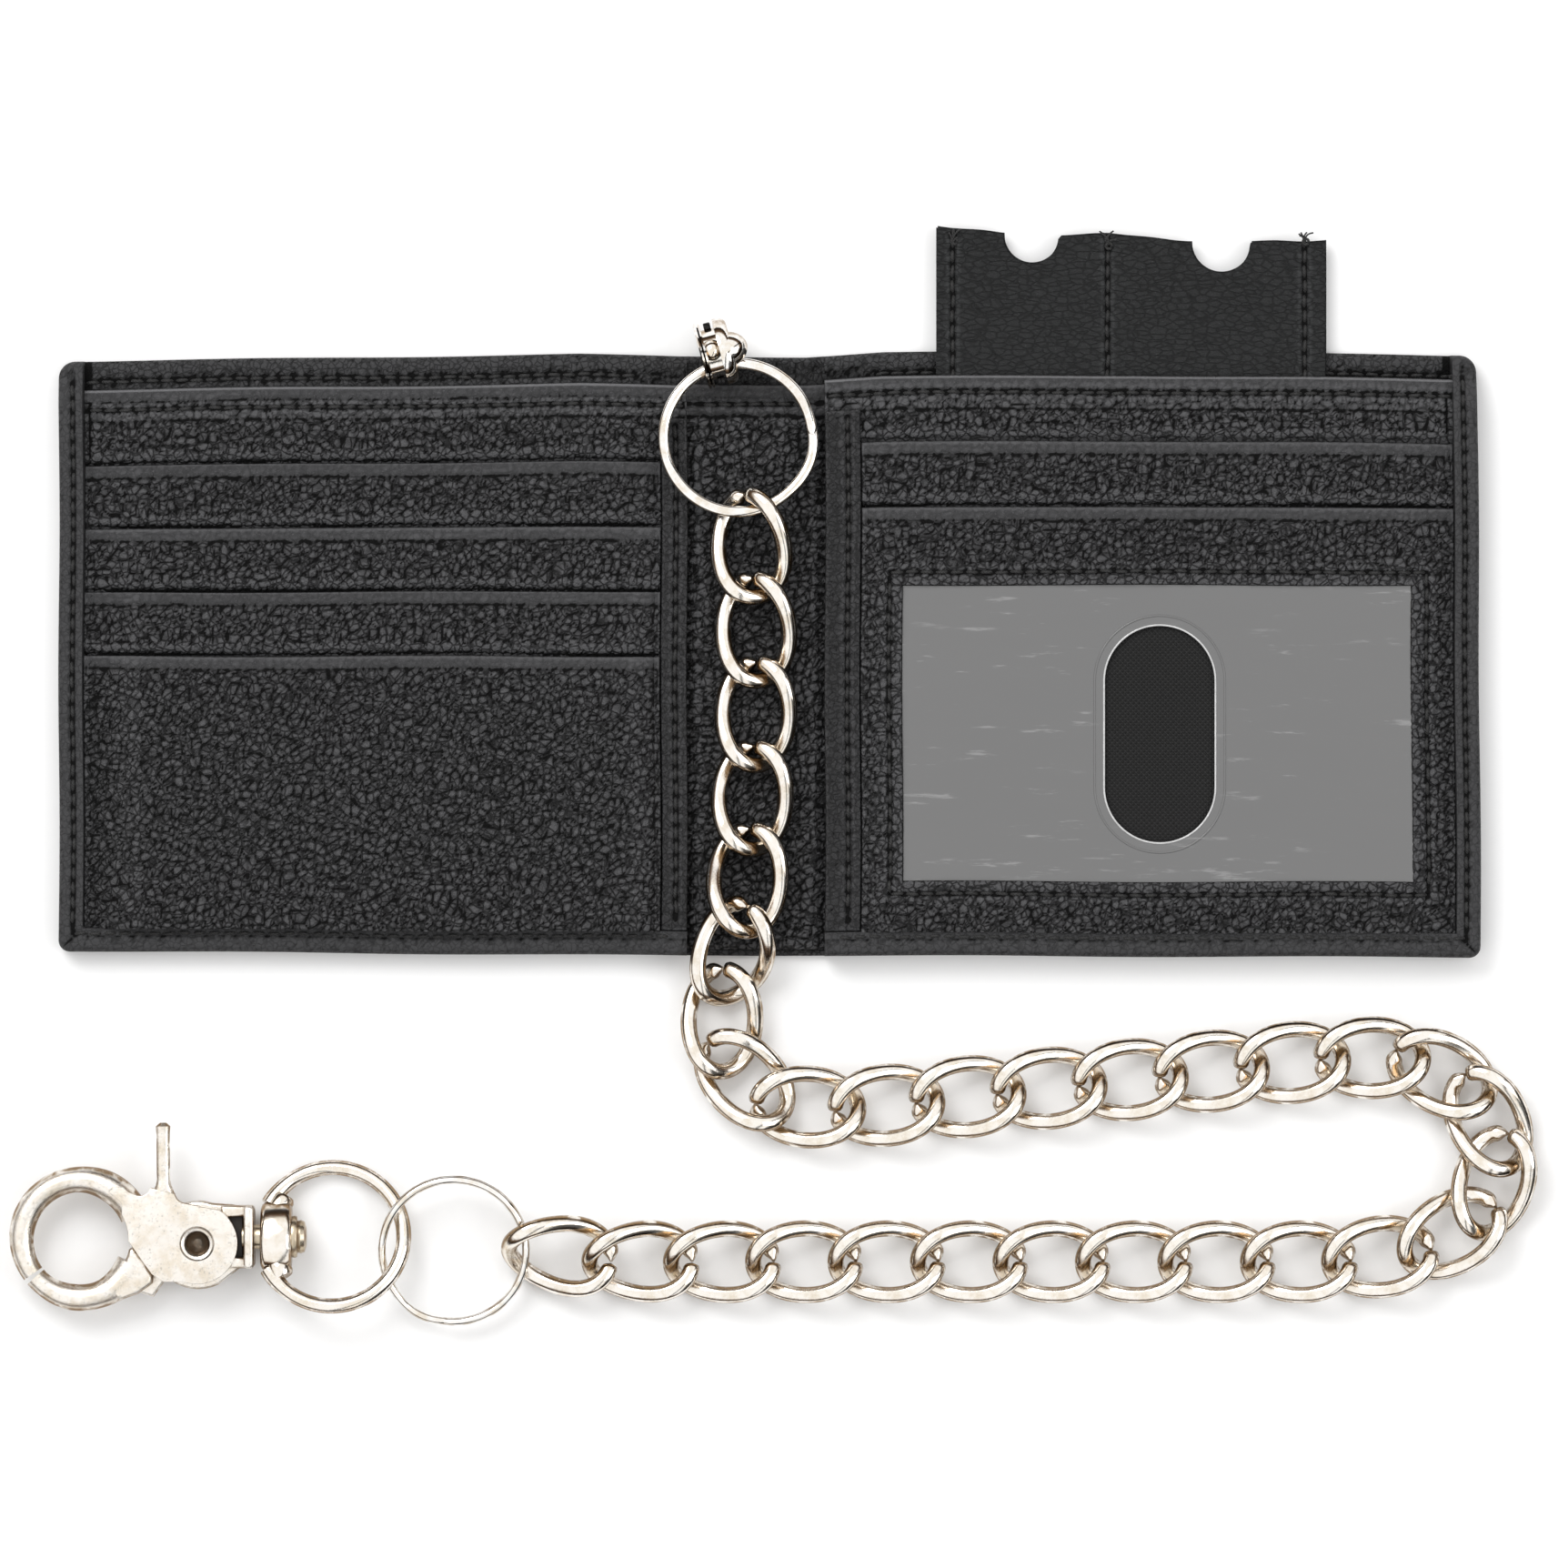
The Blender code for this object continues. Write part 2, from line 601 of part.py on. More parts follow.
ring_pivot = pivot("ring_pivot", TAB, spine_pivot)
split_ring("split_ring_wallet", RING_RADIUS, 1.7, 0.8, RING_CENTRE, (0, 3), 65, bright_steel, ring_pivot)
last_link = chain(ring_pivot)
snap_ring_pivot = pivot("snap_ring_pivot", (-35.7, *SNAP_RING_CENTRE[1:]), last_link)
split_ring("split_ring_snap", SNAP_RING_RADIUS, 1.1, 0.7, SNAP_RING_CENTRE, (7, 0), 250, bright_steel,
           snap_ring_pivot)
eye_pivot = pivot("eye_pivot", (-57.0, SNAP_Y, SNAP_Z), snap_ring_pivot)
swivel_eye(eye_pivot)
shaft_pivot = pivot("shaft_pivot", (-76.0, SNAP_Y, SNAP_Z), eye_pivot)
snap_shaft(shaft_pivot)
snap_body(shaft_pivot)
trigger_rivet(shaft_pivot)
trigger_spring(shaft_pivot)
trigger_pivot = pivot("trigger_pivot", (*TRIGGER_PIVOT, SNAP_Z), shaft_pivot)
trigger(trigger_pivot)

for thing in parts.objects:
    if thing.type == "MESH" and thing.data.polygons:
        thing.data.shade_smooth()
        thing.data.set_sharp_from_angle(angle=SHARP_ANGLE)
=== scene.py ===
"""The looks of the chain wallet: leather, nylon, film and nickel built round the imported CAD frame.

Sizes are in millimetres unless a name says otherwise. X runs along the open wallet, Y towards the mouth
of the bill pockets and Z up. Places come from the boxes of the CAD nodes.
"""

import json
import math
from contextlib import contextmanager

import bmesh
import bpy
import numpy as np
from mathutils import Matrix, Vector


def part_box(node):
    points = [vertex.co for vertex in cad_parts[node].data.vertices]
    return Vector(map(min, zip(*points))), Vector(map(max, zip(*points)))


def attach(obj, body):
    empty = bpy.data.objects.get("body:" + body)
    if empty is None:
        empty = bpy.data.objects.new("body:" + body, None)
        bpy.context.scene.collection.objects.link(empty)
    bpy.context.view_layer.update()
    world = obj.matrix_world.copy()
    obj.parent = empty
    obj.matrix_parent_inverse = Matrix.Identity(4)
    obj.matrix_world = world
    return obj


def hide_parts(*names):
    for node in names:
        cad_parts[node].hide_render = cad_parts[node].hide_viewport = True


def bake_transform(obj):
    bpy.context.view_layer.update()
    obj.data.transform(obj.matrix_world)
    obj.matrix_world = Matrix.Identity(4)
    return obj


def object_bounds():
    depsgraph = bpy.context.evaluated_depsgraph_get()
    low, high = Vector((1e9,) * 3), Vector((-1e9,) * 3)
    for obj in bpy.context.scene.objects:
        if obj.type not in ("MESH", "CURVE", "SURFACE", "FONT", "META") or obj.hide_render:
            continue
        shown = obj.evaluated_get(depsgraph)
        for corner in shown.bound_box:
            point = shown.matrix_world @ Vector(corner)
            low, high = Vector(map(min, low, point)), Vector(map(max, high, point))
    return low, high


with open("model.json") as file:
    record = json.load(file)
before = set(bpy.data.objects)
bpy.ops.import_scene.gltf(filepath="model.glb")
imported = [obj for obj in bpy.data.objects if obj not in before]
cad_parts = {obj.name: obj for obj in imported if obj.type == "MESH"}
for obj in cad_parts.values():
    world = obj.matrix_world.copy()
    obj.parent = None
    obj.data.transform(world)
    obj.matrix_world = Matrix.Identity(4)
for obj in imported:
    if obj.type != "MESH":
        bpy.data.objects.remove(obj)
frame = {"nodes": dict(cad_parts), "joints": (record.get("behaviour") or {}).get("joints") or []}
CAD_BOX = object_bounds()

MM = 0.001
STEP = 0.3                 # spacing of the grids that carry the leather's relief
COVER_STEP = 0.42          # the same for the outer covers
COARSE = 4.0               # spacing where another panel covers the leather
RANDOM = np.random.default_rng(7)


def limits(node):
    """A CAD node's lowest and highest corners in millimetres."""
    low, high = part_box(node)
    return [v / MM for v in low], [v / MM for v in high]


# ---------------------------------------------------------------- materials

class Look:
    """A node material that is built up step by step round one Principled shader."""

    def __init__(self, name, **sockets):
        self.material = bpy.data.materials.new(name)
        self.material.use_nodes = True
        self.tree = self.material.node_tree
        self.shader = self.tree.nodes["Principled BSDF"]
        for socket, value in sockets.items():
            self.shader.inputs[socket.replace("_", " ")].default_value = value

    def node(self, kind, inputs=None, out=0, **settings):
        made = self.tree.nodes.new("ShaderNode" + kind)
        for key, value in settings.items():
            setattr(made, key, value)
        for key, value in (inputs or {}).items():
            if isinstance(value, bpy.types.NodeSocket):
                self.tree.links.new(value, made.inputs[key])
            else:
                made.inputs[key].default_value = value
        return made.outputs[out]

    def math(self, operation, a, b=0.0, clamp=False):
        return self.node("Math", {0: a, 1: b}, operation=operation, use_clamp=clamp)

    def times(self, a, b, clamp=False):
        return self.math("MULTIPLY", a, b, clamp)

    def plus(self, a, b, clamp=False):
        return self.math("ADD", a, b, clamp)

    def place(self, stretch=(1, 1, 1), turn=0.0):
        """Object coordinates in millimetres, divided by stretch."""
        spot = self.node("TexCoord", out=3)
        scale = [1 / MM / s for s in stretch]
        return self.node("Mapping", {0: spot, 2: (0, 0, turn), 3: scale})

    def noise(self, place, scale, detail=2.0, rough=0.5, out=0):
        return self.node("TexNoise", {"Vector": place, "Scale": scale, "Detail": detail,
                                      "Roughness": rough}, out=out)

    def cells(self, place, scale):
        """The distance to the nearest edge between cells."""
        return self.node("TexVoronoi", {"Vector": place, "Scale": scale}, feature="DISTANCE_TO_EDGE")

    def ramp(self, value, low, high, to_low=0.0, to_high=1.0):
        return self.node("MapRange", {0: value, 1: low, 2: high, 3: to_low, 4: to_high},
                         interpolation_type="SMOOTHSTEP")

    def mix(self, factor, a, b):
        return self.node("Mix", {0: factor, 6: a, 7: b}, out=2, data_type="RGBA")

    def attribute(self, name):
        return self.node("Attribute", out=2, attribute_name=name)

    def drive(self, socket, value):
        self.tree.links.new(value, self.shader.inputs[socket])

    def bump(self, height, strength, depth):
        """depth in millimetres."""
        normal = self.node("Bump", {"Height": height, "Strength": strength, "Distance": depth * MM})
        self.drive("Normal", normal)


def grey(value, tint=(1, 1, 1)):
    return (value * tint[0], value * tint[1], value * tint[2], 1)


def leather_look(name, cell, depth, shade, tint=(1.0, 1.0, 1.04), stretch=(1, 1, 1), roughness=0.44):
    """Pebbled black leather: painted shade in its creases and hollows, slightly worn tops with painted
    highlights on the crests, painted glints, a painted highlight along an edge, fine pores, smoother where
    it is folded.
    """
    look = Look(name, Specular_IOR_Level=0.17)
    flat = look.place(stretch)
    drift = look.noise(flat, 0.45, 2, out=1)
    warped = look.node("VectorMath", {0: flat, 1: drift}, operation="ADD")
    big = look.ramp(look.cells(warped, 1 / cell), 0.0, 0.16)
    small = look.ramp(look.cells(warped, 2.4 / cell), 0.0, 0.22)
    grain = look.noise(flat, 7, 3, 0.65)
    bare = look.math("SUBTRACT", 1.0, look.times(look.attribute("fold"), 0.8))
    pebbles = look.plus(look.times(big, 0.55), look.times(small, 0.3))
    relief = look.times(pebbles, bare)
    look.bump(look.plus(relief, look.times(grain, 0.5)), 1.0, depth)
    worn = look.noise(flat, 0.07, 3)
    hollow = look.attribute("hollow")
    top = look.mix(worn, grey(shade * 0.85, tint), grey(shade * 1.2, tint))
    # Painted highlight: the crests of the relief, where hollow is below 0, are lightened.
    crest_highlight = look.ramp(hollow, -0.75, -0.1, 1.0, 0.0)
    top = look.mix(look.times(crest_highlight, 0.8), top, grey(shade * 2.3, tint))
    # Painted glints: small bright specks scattered over the tops.
    speck = look.ramp(look.noise(flat, 4.5, 2), 0.60, 0.74, 0, 0.6)
    top = look.mix(speck, top, grey(shade * 3.0, tint))
    # Painted highlight: where the fold value climbs above 1, along the divider's top edge, the colour turns
    # light grey.
    edge = look.ramp(look.attribute("fold"), 1.15, 1.8)
    # Painted shade: the creases between pebbles and the hollows of the relief are darkened towards black.
    crease_shade = look.times(look.math("SUBTRACT", 1.0, big), bare)
    deep = look.math("MAXIMUM", look.times(crease_shade, 0.8), look.ramp(hollow, 0.0, 0.55))
    dark = look.mix(deep, top, grey(shade * 0.05))
    look.drive("Base Color", look.mix(edge, dark, grey(0.16, tint)))
    sheen = look.ramp(grain, 0.3, 0.7, roughness - 0.12, roughness + 0.08)
    look.drive("Roughness", look.plus(sheen, look.times(deep, 0.4), clamp=True))
    return look.material


def raw_edge_look():
    look = Look("raw_edge", Roughness=0.85)
    spots = look.noise(look.place(), 3.5, 3, 0.7)
    look.drive("Base Color", look.mix(spots, grey(0.035), grey(0.15, (0.9, 1, 1.08))))
    look.bump(spots, 0.8, 0.15)
    return look.material


def thread_look():
    """Twisted black sewing thread."""
    look = Look("black_thread", Roughness=0.62, Sheen_Weight=0.1)
    place = look.place()
    strands = look.node("TexWave", {"Vector": place, "Scale": 1.3, "Distortion": 1.0},
                        bands_direction="DIAGONAL")
    look.drive("Base Color", look.mix(strands, grey(0.004), grey(0.016)))
    look.bump(strands, 0.7, 0.06)
    return look.material


def metal_look(name, polish, stain, pits, bright=0.95, tint=(1.0, 0.95, 0.88)):
    """Nickel plating with warm tarnish in its hollows and edges, and the pits of a casting."""
    look = Look(name, Metallic=1.0)
    place = look.place()
    cloud = look.noise(place, 0.35, 4, 0.6)
    fine = look.noise(place, 4.5, 4, 0.7)
    normal = look.node("SeparateXYZ", {0: look.node("TexCoord", out=1)}, out=2)
    side = look.math("SUBTRACT", 1.0, look.math("ABSOLUTE", normal))
    edge = look.ramp(side, 0.20, 0.62)
    patchy = look.ramp(look.plus(cloud, look.times(fine, 0.35)), 0.5, 0.80)
    brown = look.times(look.times(edge, patchy), stain, clamp=True)
    tan = (bright * 0.86, bright * 0.77, bright * 0.64, 1)
    base = look.mix(look.ramp(cloud, 0.38, 0.72), grey(bright, tint), tan)
    tarnish = look.mix(fine, (0.46, 0.30, 0.15, 1), (0.07, 0.04, 0.02, 1))
    coloured = look.mix(brown, base, tarnish)
    grit = look.noise(place, 1.9, 6, 0.78)
    speck = look.ramp(grit, 0.60 - 0.07 * pits, 0.70, 0, 0.9 * pits)
    look.drive("Base Color", look.mix(speck, coloured, (0.30, 0.26, 0.22, 1)))
    dull = look.times(look.plus(fine, brown), 0.07 + 0.22 * pits)
    look.drive("Roughness", look.plus(dull, polish, clamp=True))
    height = look.plus(cloud, look.times(fine, 0.25 + pits))
    look.bump(height, 0.35 + 0.4 * pits, 0.06)
    return look.material


def film_look():
    """Grey vinyl with faint scuffs and streaks."""
    look = Look("grey_film", Coat_Weight=0.35, Coat_Roughness=0.12, Specular_IOR_Level=0.35)
    streaks = look.noise(look.place((5, 0.6, 1), 0.5), 0.45, 4, 0.65)
    clouds = look.noise(look.place(), 0.035, 2)
    scuff = look.times(look.ramp(streaks, 0.60, 0.70), look.ramp(clouds, 0.44, 0.56), True)
    tone = look.mix(look.times(scuff, 0.9), grey(0.143), grey(0.235))
    look.drive("Base Color", tone)
    look.drive("Roughness", look.ramp(streaks, 0.3, 0.7, 0.3, 0.42))
    waves = look.noise(look.place((6, 3, 1)), 0.3, 2)
    look.bump(look.plus(waves, look.times(scuff, 0.15)), 0.3, 0.4)
    return look.material


def nylon_look():
    """Plain-woven black nylon, with a thread every 0.42 mm."""
    look = Look("black_nylon", Sheen_Weight=0.06, Sheen_Roughness=0.4, Specular_IOR_Level=0.2)
    place = look.place()
    apart = look.node("SeparateXYZ", {0: place})
    split = apart.node
    angle = 2 * math.pi / 0.84
    warp = look.math("SINE", look.times(split.outputs[0], angle))
    weft = look.math("SINE", look.times(split.outputs[1], angle))
    woven = look.times(warp, weft)
    over = look.math("ABSOLUTE", woven)
    fuzz = look.noise(look.place((1, 2, 1)), 3.0, 3)
    shade = look.plus(look.times(woven, 0.16), look.times(fuzz, 0.5))
    look.drive("Base Color", look.mix(look.ramp(shade, 0.0, 0.8), grey(0.005), grey(0.034)))
    look.drive("Roughness", look.ramp(fuzz, 0.3, 0.7, 0.5, 0.75))
    look.bump(look.plus(over, look.times(fuzz, 0.3)), 0.9, 0.12)
    return look.material


def floor_look():
    look = Look("white_floor", Roughness=0.6)
    paper = look.noise(look.place(), 0.8, 3)
    look.drive("Base Color", look.mix(paper, grey(0.91), grey(0.93)))
    look.bump(paper, 0.05, 0.05)
    return look.material


def mottled_look(name, scale, dark, light, **sockets):
    """A colour that drifts between two others."""
    look = Look(name, **sockets)
    look.drive("Base Color", look.mix(look.noise(look.place(), scale), dark, light))
    return look.material


LEATHER = leather_look("pebbled_leather", 1.3, 0.32, 0.044)
HEM = leather_look("hem_leather", 1.0, 0.20, 0.023)
GUTTER = leather_look("gutter_leather", 1.5, 0.34, 0.040, roughness=0.42)
SLEEVE = leather_look("sleeve_leather", 1.15, 0.22, 0.019, (0.97, 1.0, 1.03), (1.6, 0.75, 1))
RAW = raw_edge_look()
THREAD = thread_look()
NICKEL = metal_look("nickel_plate", 0.05, 1.7, 0.16)
CAST = metal_look("nickel_cast", 0.10, 1.5, 0.75)
RING = metal_look("ring_steel", 0.03, 0.9, 0.0, 0.96, (1.0, 0.98, 0.945))
BROWN = metal_look("tarnished_steel", 0.3, 1.0, 0.8, 0.16, (1.0, 0.72, 0.5))
BRASSY = metal_look("post_plate", 0.14, 1.0, 0.5, 0.62, (1.0, 0.85, 0.62))
# Painted shade: a dark mottled colour for the block that fills the fork's gap.
FORK_SHADE = mottled_look("old_grease", 1.2, grey(0.004), (0.03, 0.018, 0.01, 1), Roughness=0.5)
FILM = film_look()
LIP = mottled_look("slot_lip", 1.5, grey(0.35), grey(0.75), Roughness=0.2, Coat_Weight=0.6)
NYLON = nylon_look()


# ---------------------------------------------------------------- shape helpers

def shade(mesh, sharp):
    """Smooth shading that breaks at edges sharper than the given degrees."""
    mesh.shade_smooth()
    mesh.set_sharp_from_angle(angle=math.radians(sharp))


def finish_piece(thing, body, nodes=(), sharp=40):
    """Shade a piece and tie it to its CAD body."""
    shade(thing.data, sharp)
    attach(thing, body)
    if nodes:
        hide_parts(*nodes)


def shown(name, data):
    """A new object in the scene."""
    thing = bpy.data.objects.new(name, data)
    bpy.context.scene.collection.objects.link(thing)
    return thing


def mesh_piece(name, points, faces, looks, indices=None):
    """A mesh object from points in millimetres."""
    mesh = bpy.data.meshes.new(name)
    mesh.from_pydata([tuple(p) for p in np.asarray(points) * MM], [], [tuple(f) for f in faces])
    for look in looks:
        mesh.materials.append(look)
    if indices is not None:
        mesh.polygons.foreach_set("material_index", indices)
    mesh.update()
    return shown(name, mesh)


def smooth(value, low, high):
    t = np.clip((value - low) / (high - low), 0, 1)
    return t * t * (3 - 2 * t)


def dent(distance, width):
    return np.exp(-(distance / width) ** 2)


def edge_drop(distance, radius):
    """How far a rounded edge has dropped at a distance in from it."""
    t = 1 - np.clip(distance / radius, 0, 1)
    return radius * (1 - np.sqrt(1 - t * t))


def ripple(x, y, wavelength, seed):
    """A sum of plane waves of about one wavelength, between about -1 and 1."""
    draw = np.random.default_rng(seed)
    total = 0
    waves = 7
    for _ in range(waves):
        angle, phase = draw.uniform(0, 2 * math.pi, 2)
        k = 2 * math.pi / (wavelength * draw.uniform(0.7, 1.5))
        total = total + np.sin(k * (x * math.cos(angle) + y * math.sin(angle)) + phase)
    return total / waves ** 0.5 / 1.4


def scatter(i, j, seed):
    """A repeatable random number from 0 to 1 for each pair of whole numbers."""
    h = np.sin(i * 127.1 + j * 311.7 + seed * 74.7) * 43758.5453
    return h - np.floor(h)


def pebble(x, y, cell, seed):
    """Rounded leather cells: 0 in the creases between them, up to about 1 on top."""
    along, up = 0.80 * x + 0.60 * y, 0.80 * y - 0.60 * x
    bend = cell * 4.5
    x, y = (along / cell + 0.6 * ripple(along, up, bend, seed + 1),
            1.2 * up / cell + 0.6 * ripple(along, up, bend, seed + 2))
    xi, yi = np.floor(x), np.floor(y)
    first = np.full(x.shape, 9.0)
    second = np.full(x.shape, 9.0)
    for di in (-1, 0, 1):
        for dj in (-1, 0, 1):
            ci, cj = xi + di, yi + dj
            d = np.hypot(ci + scatter(ci, cj, seed) - x, cj + scatter(cj, ci, seed + 5) - y)
            second = np.where(d < first, first, np.minimum(second, d))
            first = np.minimum(first, d)
    return np.sqrt(np.clip((second - first) * 2.4, 0, 1))


def lay_out(x, y):
    """Pull the nominal rectangle into the slightly uneven outline of the sewn wallet."""
    x, y = np.asarray(x, float), np.asarray(y, float)
    top = np.interp(x, (-110, -70, -28, -12, 8, 20, 60, 114),
                    (0.981, 0.993, 1.006, 0.998, 0.996, 1.012, 1.016, 1.0))
    foot = np.interp(x, (-110, -10, 12, 114), (0.977, 0.993, 0.992, 0.998))
    share = smooth(y, -47.5, 47.5)
    scaled = y * (foot * (1 - share) + top * share)
    wobble = 0.12 * np.sin(x / 9.0 + 1) * np.cos(y / 13.0)
    return x - 0.006 * y * smooth(x, 60, 114) - 0.10 * np.sin(y / 8.0 + 2), scaled + wobble


def unmoved(x, y):
    return x, y


def round_corner(x, y, corner, radius):
    """Move grid points near a square corner onto a round one. corner is (x, y, outward x, outward y)."""
    cx, cy, sx, sy = corner
    dx, dy = (x - cx) * sx + radius, (y - cy) * sy + radius
    near = (dx > 0) & (dy > 0)
    length = np.hypot(dx, dy)
    ratio = np.where(near, np.maximum(dx, dy) / np.maximum(length, 1e-9), 1)
    return (np.where(near, cx + sx * (dx * ratio - radius), x),
            np.where(near, cy + sy * (dy * ratio - radius), y))


def lines(low, high, fine=None, step=STEP):
    """Grid lines from low to high: fine inside the given stretch, coarse outside it, close at both ends."""
    fine = fine or (low, high)
    near = [0.0, 0.06, 0.14, 0.26, 0.42, 0.62, 0.85]
    marks = {round(low + d, 4) for d in near} | {round(high - d, 4) for d in near}
    a, b = max(low, fine[0]), min(high, fine[1])
    marks |= {round(v, 4) for v in np.linspace(a, b, max(2, int((b - a) / step) + 1))}
    for start, end in ((low, a), (b, high)):
        if end - start > COARSE:
            marks |= {round(v, 4) for v in np.linspace(start, end, int((end - start) / COARSE) + 2)}
    kept = []
    for value in sorted(marks):
        if not kept or value - kept[-1] > 0.045:
            kept.append(value)
    return np.array(kept)


def panel(name, xs, ys, surface, underside, looks, hole=None, corners=(), both_sides=False, warp=lay_out):
    """A closed leather panel on a grid. surface(x, y) gives its height and how smooth-folded it is."""
    x, y = np.meshgrid(xs, ys)
    z, folded = surface(x, y)
    nx, ny = len(xs), len(ys)
    index = np.arange(nx * ny).reshape(ny, nx)
    quads = np.stack([index[:-1, :-1], index[:-1, 1:], index[1:, 1:], index[1:, :-1]], -1).reshape(-1, 4)
    if hole:
        mx = (x[:-1, :-1] + x[1:, 1:]).ravel() / 2
        my = (y[:-1, :-1] + y[1:, 1:]).ravel() / 2
        inside = (mx > hole[0]) & (mx < hole[1]) & (my > hole[2]) & (my < hole[3])
        quads = quads[~inside]
    low = np.broadcast_to(underside(x, y), x.shape)
    for corner, radius in corners:
        x, y = round_corner(x, y, corner, radius)
    x, y = warp(x, y)
    top = np.stack([x.ravel(), y.ravel(), z.ravel()], -1)
    base = np.stack([x.ravel(), y.ravel(), low.ravel()], -1)
    edges = np.concatenate([quads[:, [k, (k + 1) % 4]] for k in range(4)])
    keys = np.sort(edges, 1)
    _, inverse, counts = np.unique(keys, axis=0, return_inverse=True, return_counts=True)
    rim = edges[counts[inverse.ravel()] == 1]
    used = np.unique(quads)
    below = used if both_sides else np.unique(rim)
    renumber = np.full(nx * ny, -1)
    renumber[used] = np.arange(len(used))
    lower = np.full(nx * ny, -1)
    lower[below] = len(used) + np.arange(len(below))
    points = np.concatenate([top[used], base[below]])
    sides = np.stack([renumber[rim[:, 1]], renumber[rim[:, 0]], lower[rim[:, 0]], lower[rim[:, 1]]], -1)
    faces = [renumber[quads], sides]
    if both_sides:
        faces.append(lower[quads][:, ::-1])
    faces = np.concatenate(faces)
    kinds = np.zeros(len(faces), np.int32)
    kinds[len(quads):len(quads) + len(sides)] = len(looks) - 1
    thing = mesh_piece(name, points, faces, looks, kinds)
    if not both_sides:
        close_underside(thing.data)
    values = np.zeros(len(thing.data.vertices), np.float32)
    # Fold values above 1 carry a painted highlight along an edge.
    values[:len(used)] = np.broadcast_to(folded, x.shape).ravel()[used]
    thing.data.attributes.new("fold", "FLOAT", "POINT").data.foreach_set("value", values)
    # The hollow values drive painted shade in creases and painted highlights on crests in the leather
    # looks.
    values[:len(used)] = hollows(z).ravel()[used]
    thing.data.attributes.new("hollow", "FLOAT", "POINT").data.foreach_set("value", values)
    return thing


def hollows(z):
    """How far each grid point lies below its surroundings: 1 in a crease, -1 on a crest."""
    reach, full = 3, 0.11
    padded = np.pad(z, reach, mode="edge")
    rows, columns = z.shape
    total = 0
    for i in range(2 * reach + 1):
        for j in range(2 * reach + 1):
            total = total + padded[i:i + rows, j:j + columns]
    return np.clip((total / (2 * reach + 1) ** 2 - z) / full, -1, 1)


@contextmanager
def edited(mesh):
    """A mesh opened for editing, and written back with its faces turned outward."""
    work = bmesh.new()
    work.from_mesh(mesh)
    yield work
    bmesh.ops.recalc_face_normals(work, faces=work.faces)
    work.to_mesh(mesh)
    work.free()


def close_underside(mesh):
    """Fill a panel's open lower edge."""
    with edited(mesh) as work:
        bmesh.ops.triangle_fill(work, use_beauty=True, edges=[e for e in work.edges if e.is_boundary])


def degrees(start, end, count):
    """Evenly spaced angles, given in degrees and returned in radians."""
    return np.radians(np.linspace(start, end, count))


def shift(x, y, z):
    """A move in millimetres."""
    return Matrix.Translation(Vector((x, y, z)) * MM)


def tube(first, rings, sides, closed=False):
    """The faces between rings of points, with caps unless it is closed. first is its first point."""
    faces = []
    for i in range(rings if closed else rings - 1):
        here, there = first + i * sides, first + (i + 1) % rings * sides
        for k in range(sides):
            m = (k + 1) % sides
            faces.append((here + k, here + m, there + m, there + k))
    if not closed:
        last = first + (rings - 1) * sides
        faces.append(tuple(range(first, first + sides))[::-1])
        faces.append(tuple(range(last, last + sides)))
    return faces


def sweep(name, path, sizes, look, sides=14, closed=False, up=(0, 0, 1), flats=0.0):
    """A solid bar along a path. sizes is its half width and half height, alike or one per station."""
    path = np.asarray(path, float)
    sizes = np.stack([np.broadcast_to(size, len(path)) for size in sizes], -1)
    if closed:
        ahead, behind = np.roll(path, -1, 0), np.roll(path, 1, 0)
    else:
        ahead, behind = np.vstack([path[1:], path[-1:]]), np.vstack([path[:1], path[:-1]])
    along = ahead - behind
    along /= np.linalg.norm(along, axis=1)[:, None]
    across = np.cross(along, np.asarray(up, float))
    across /= np.linalg.norm(across, axis=1)[:, None]
    lift = np.cross(across, along)
    angle = 2 * np.pi * np.arange(sides) / sides
    swell = 1 - flats * np.cos(4 * angle)
    ring = (across[:, None] * (np.cos(angle) * swell)[None, :, None] * sizes[:, :1, None]
            + lift[:, None] * (np.sin(angle) * swell)[None, :, None] * sizes[:, 1:, None])
    points = (path[:, None] + ring).reshape(-1, 3)
    return outward(mesh_piece(name, points, tube(0, len(path), sides, closed), [look]))


def outward(thing):
    """The same piece, with all its faces turned outward."""
    with edited(thing.data):
        return thing


def turned(name, profile, centre, axis, look, steps=48):
    """A solid of revolution from a closed profile of (radius, distance along the axis)."""
    points, faces = [], []
    count = len(profile)
    for i in range(steps):
        a = 2 * math.pi * i / steps
        points += [(r * math.cos(a), r * math.sin(a), h) for r, h in profile]
        j = (i + 1) % steps
        faces += [(i * count + k, j * count + k, j * count + (k + 1) % count, i * count + (k + 1) % count)
                  for k in range(count)]
    thing = mesh_piece(name, points, faces, [look])
    with edited(thing.data) as work:
        bmesh.ops.remove_doubles(work, verts=work.verts, dist=0.002 * MM)
    turn = Vector((0, 0, 1)).rotation_difference(Vector(axis)).to_matrix().to_4x4()
    thing.data.transform(Matrix.Translation(Vector(centre) * MM) @ turn)
    return thing


def arc(centre, radius, start, end, steps):
    """Points along part of a circle, with the angles in degrees."""
    return [(centre[0] + radius * math.cos(a), centre[1] + radius * math.sin(a))
            for a in degrees(start, end, steps + 1)]


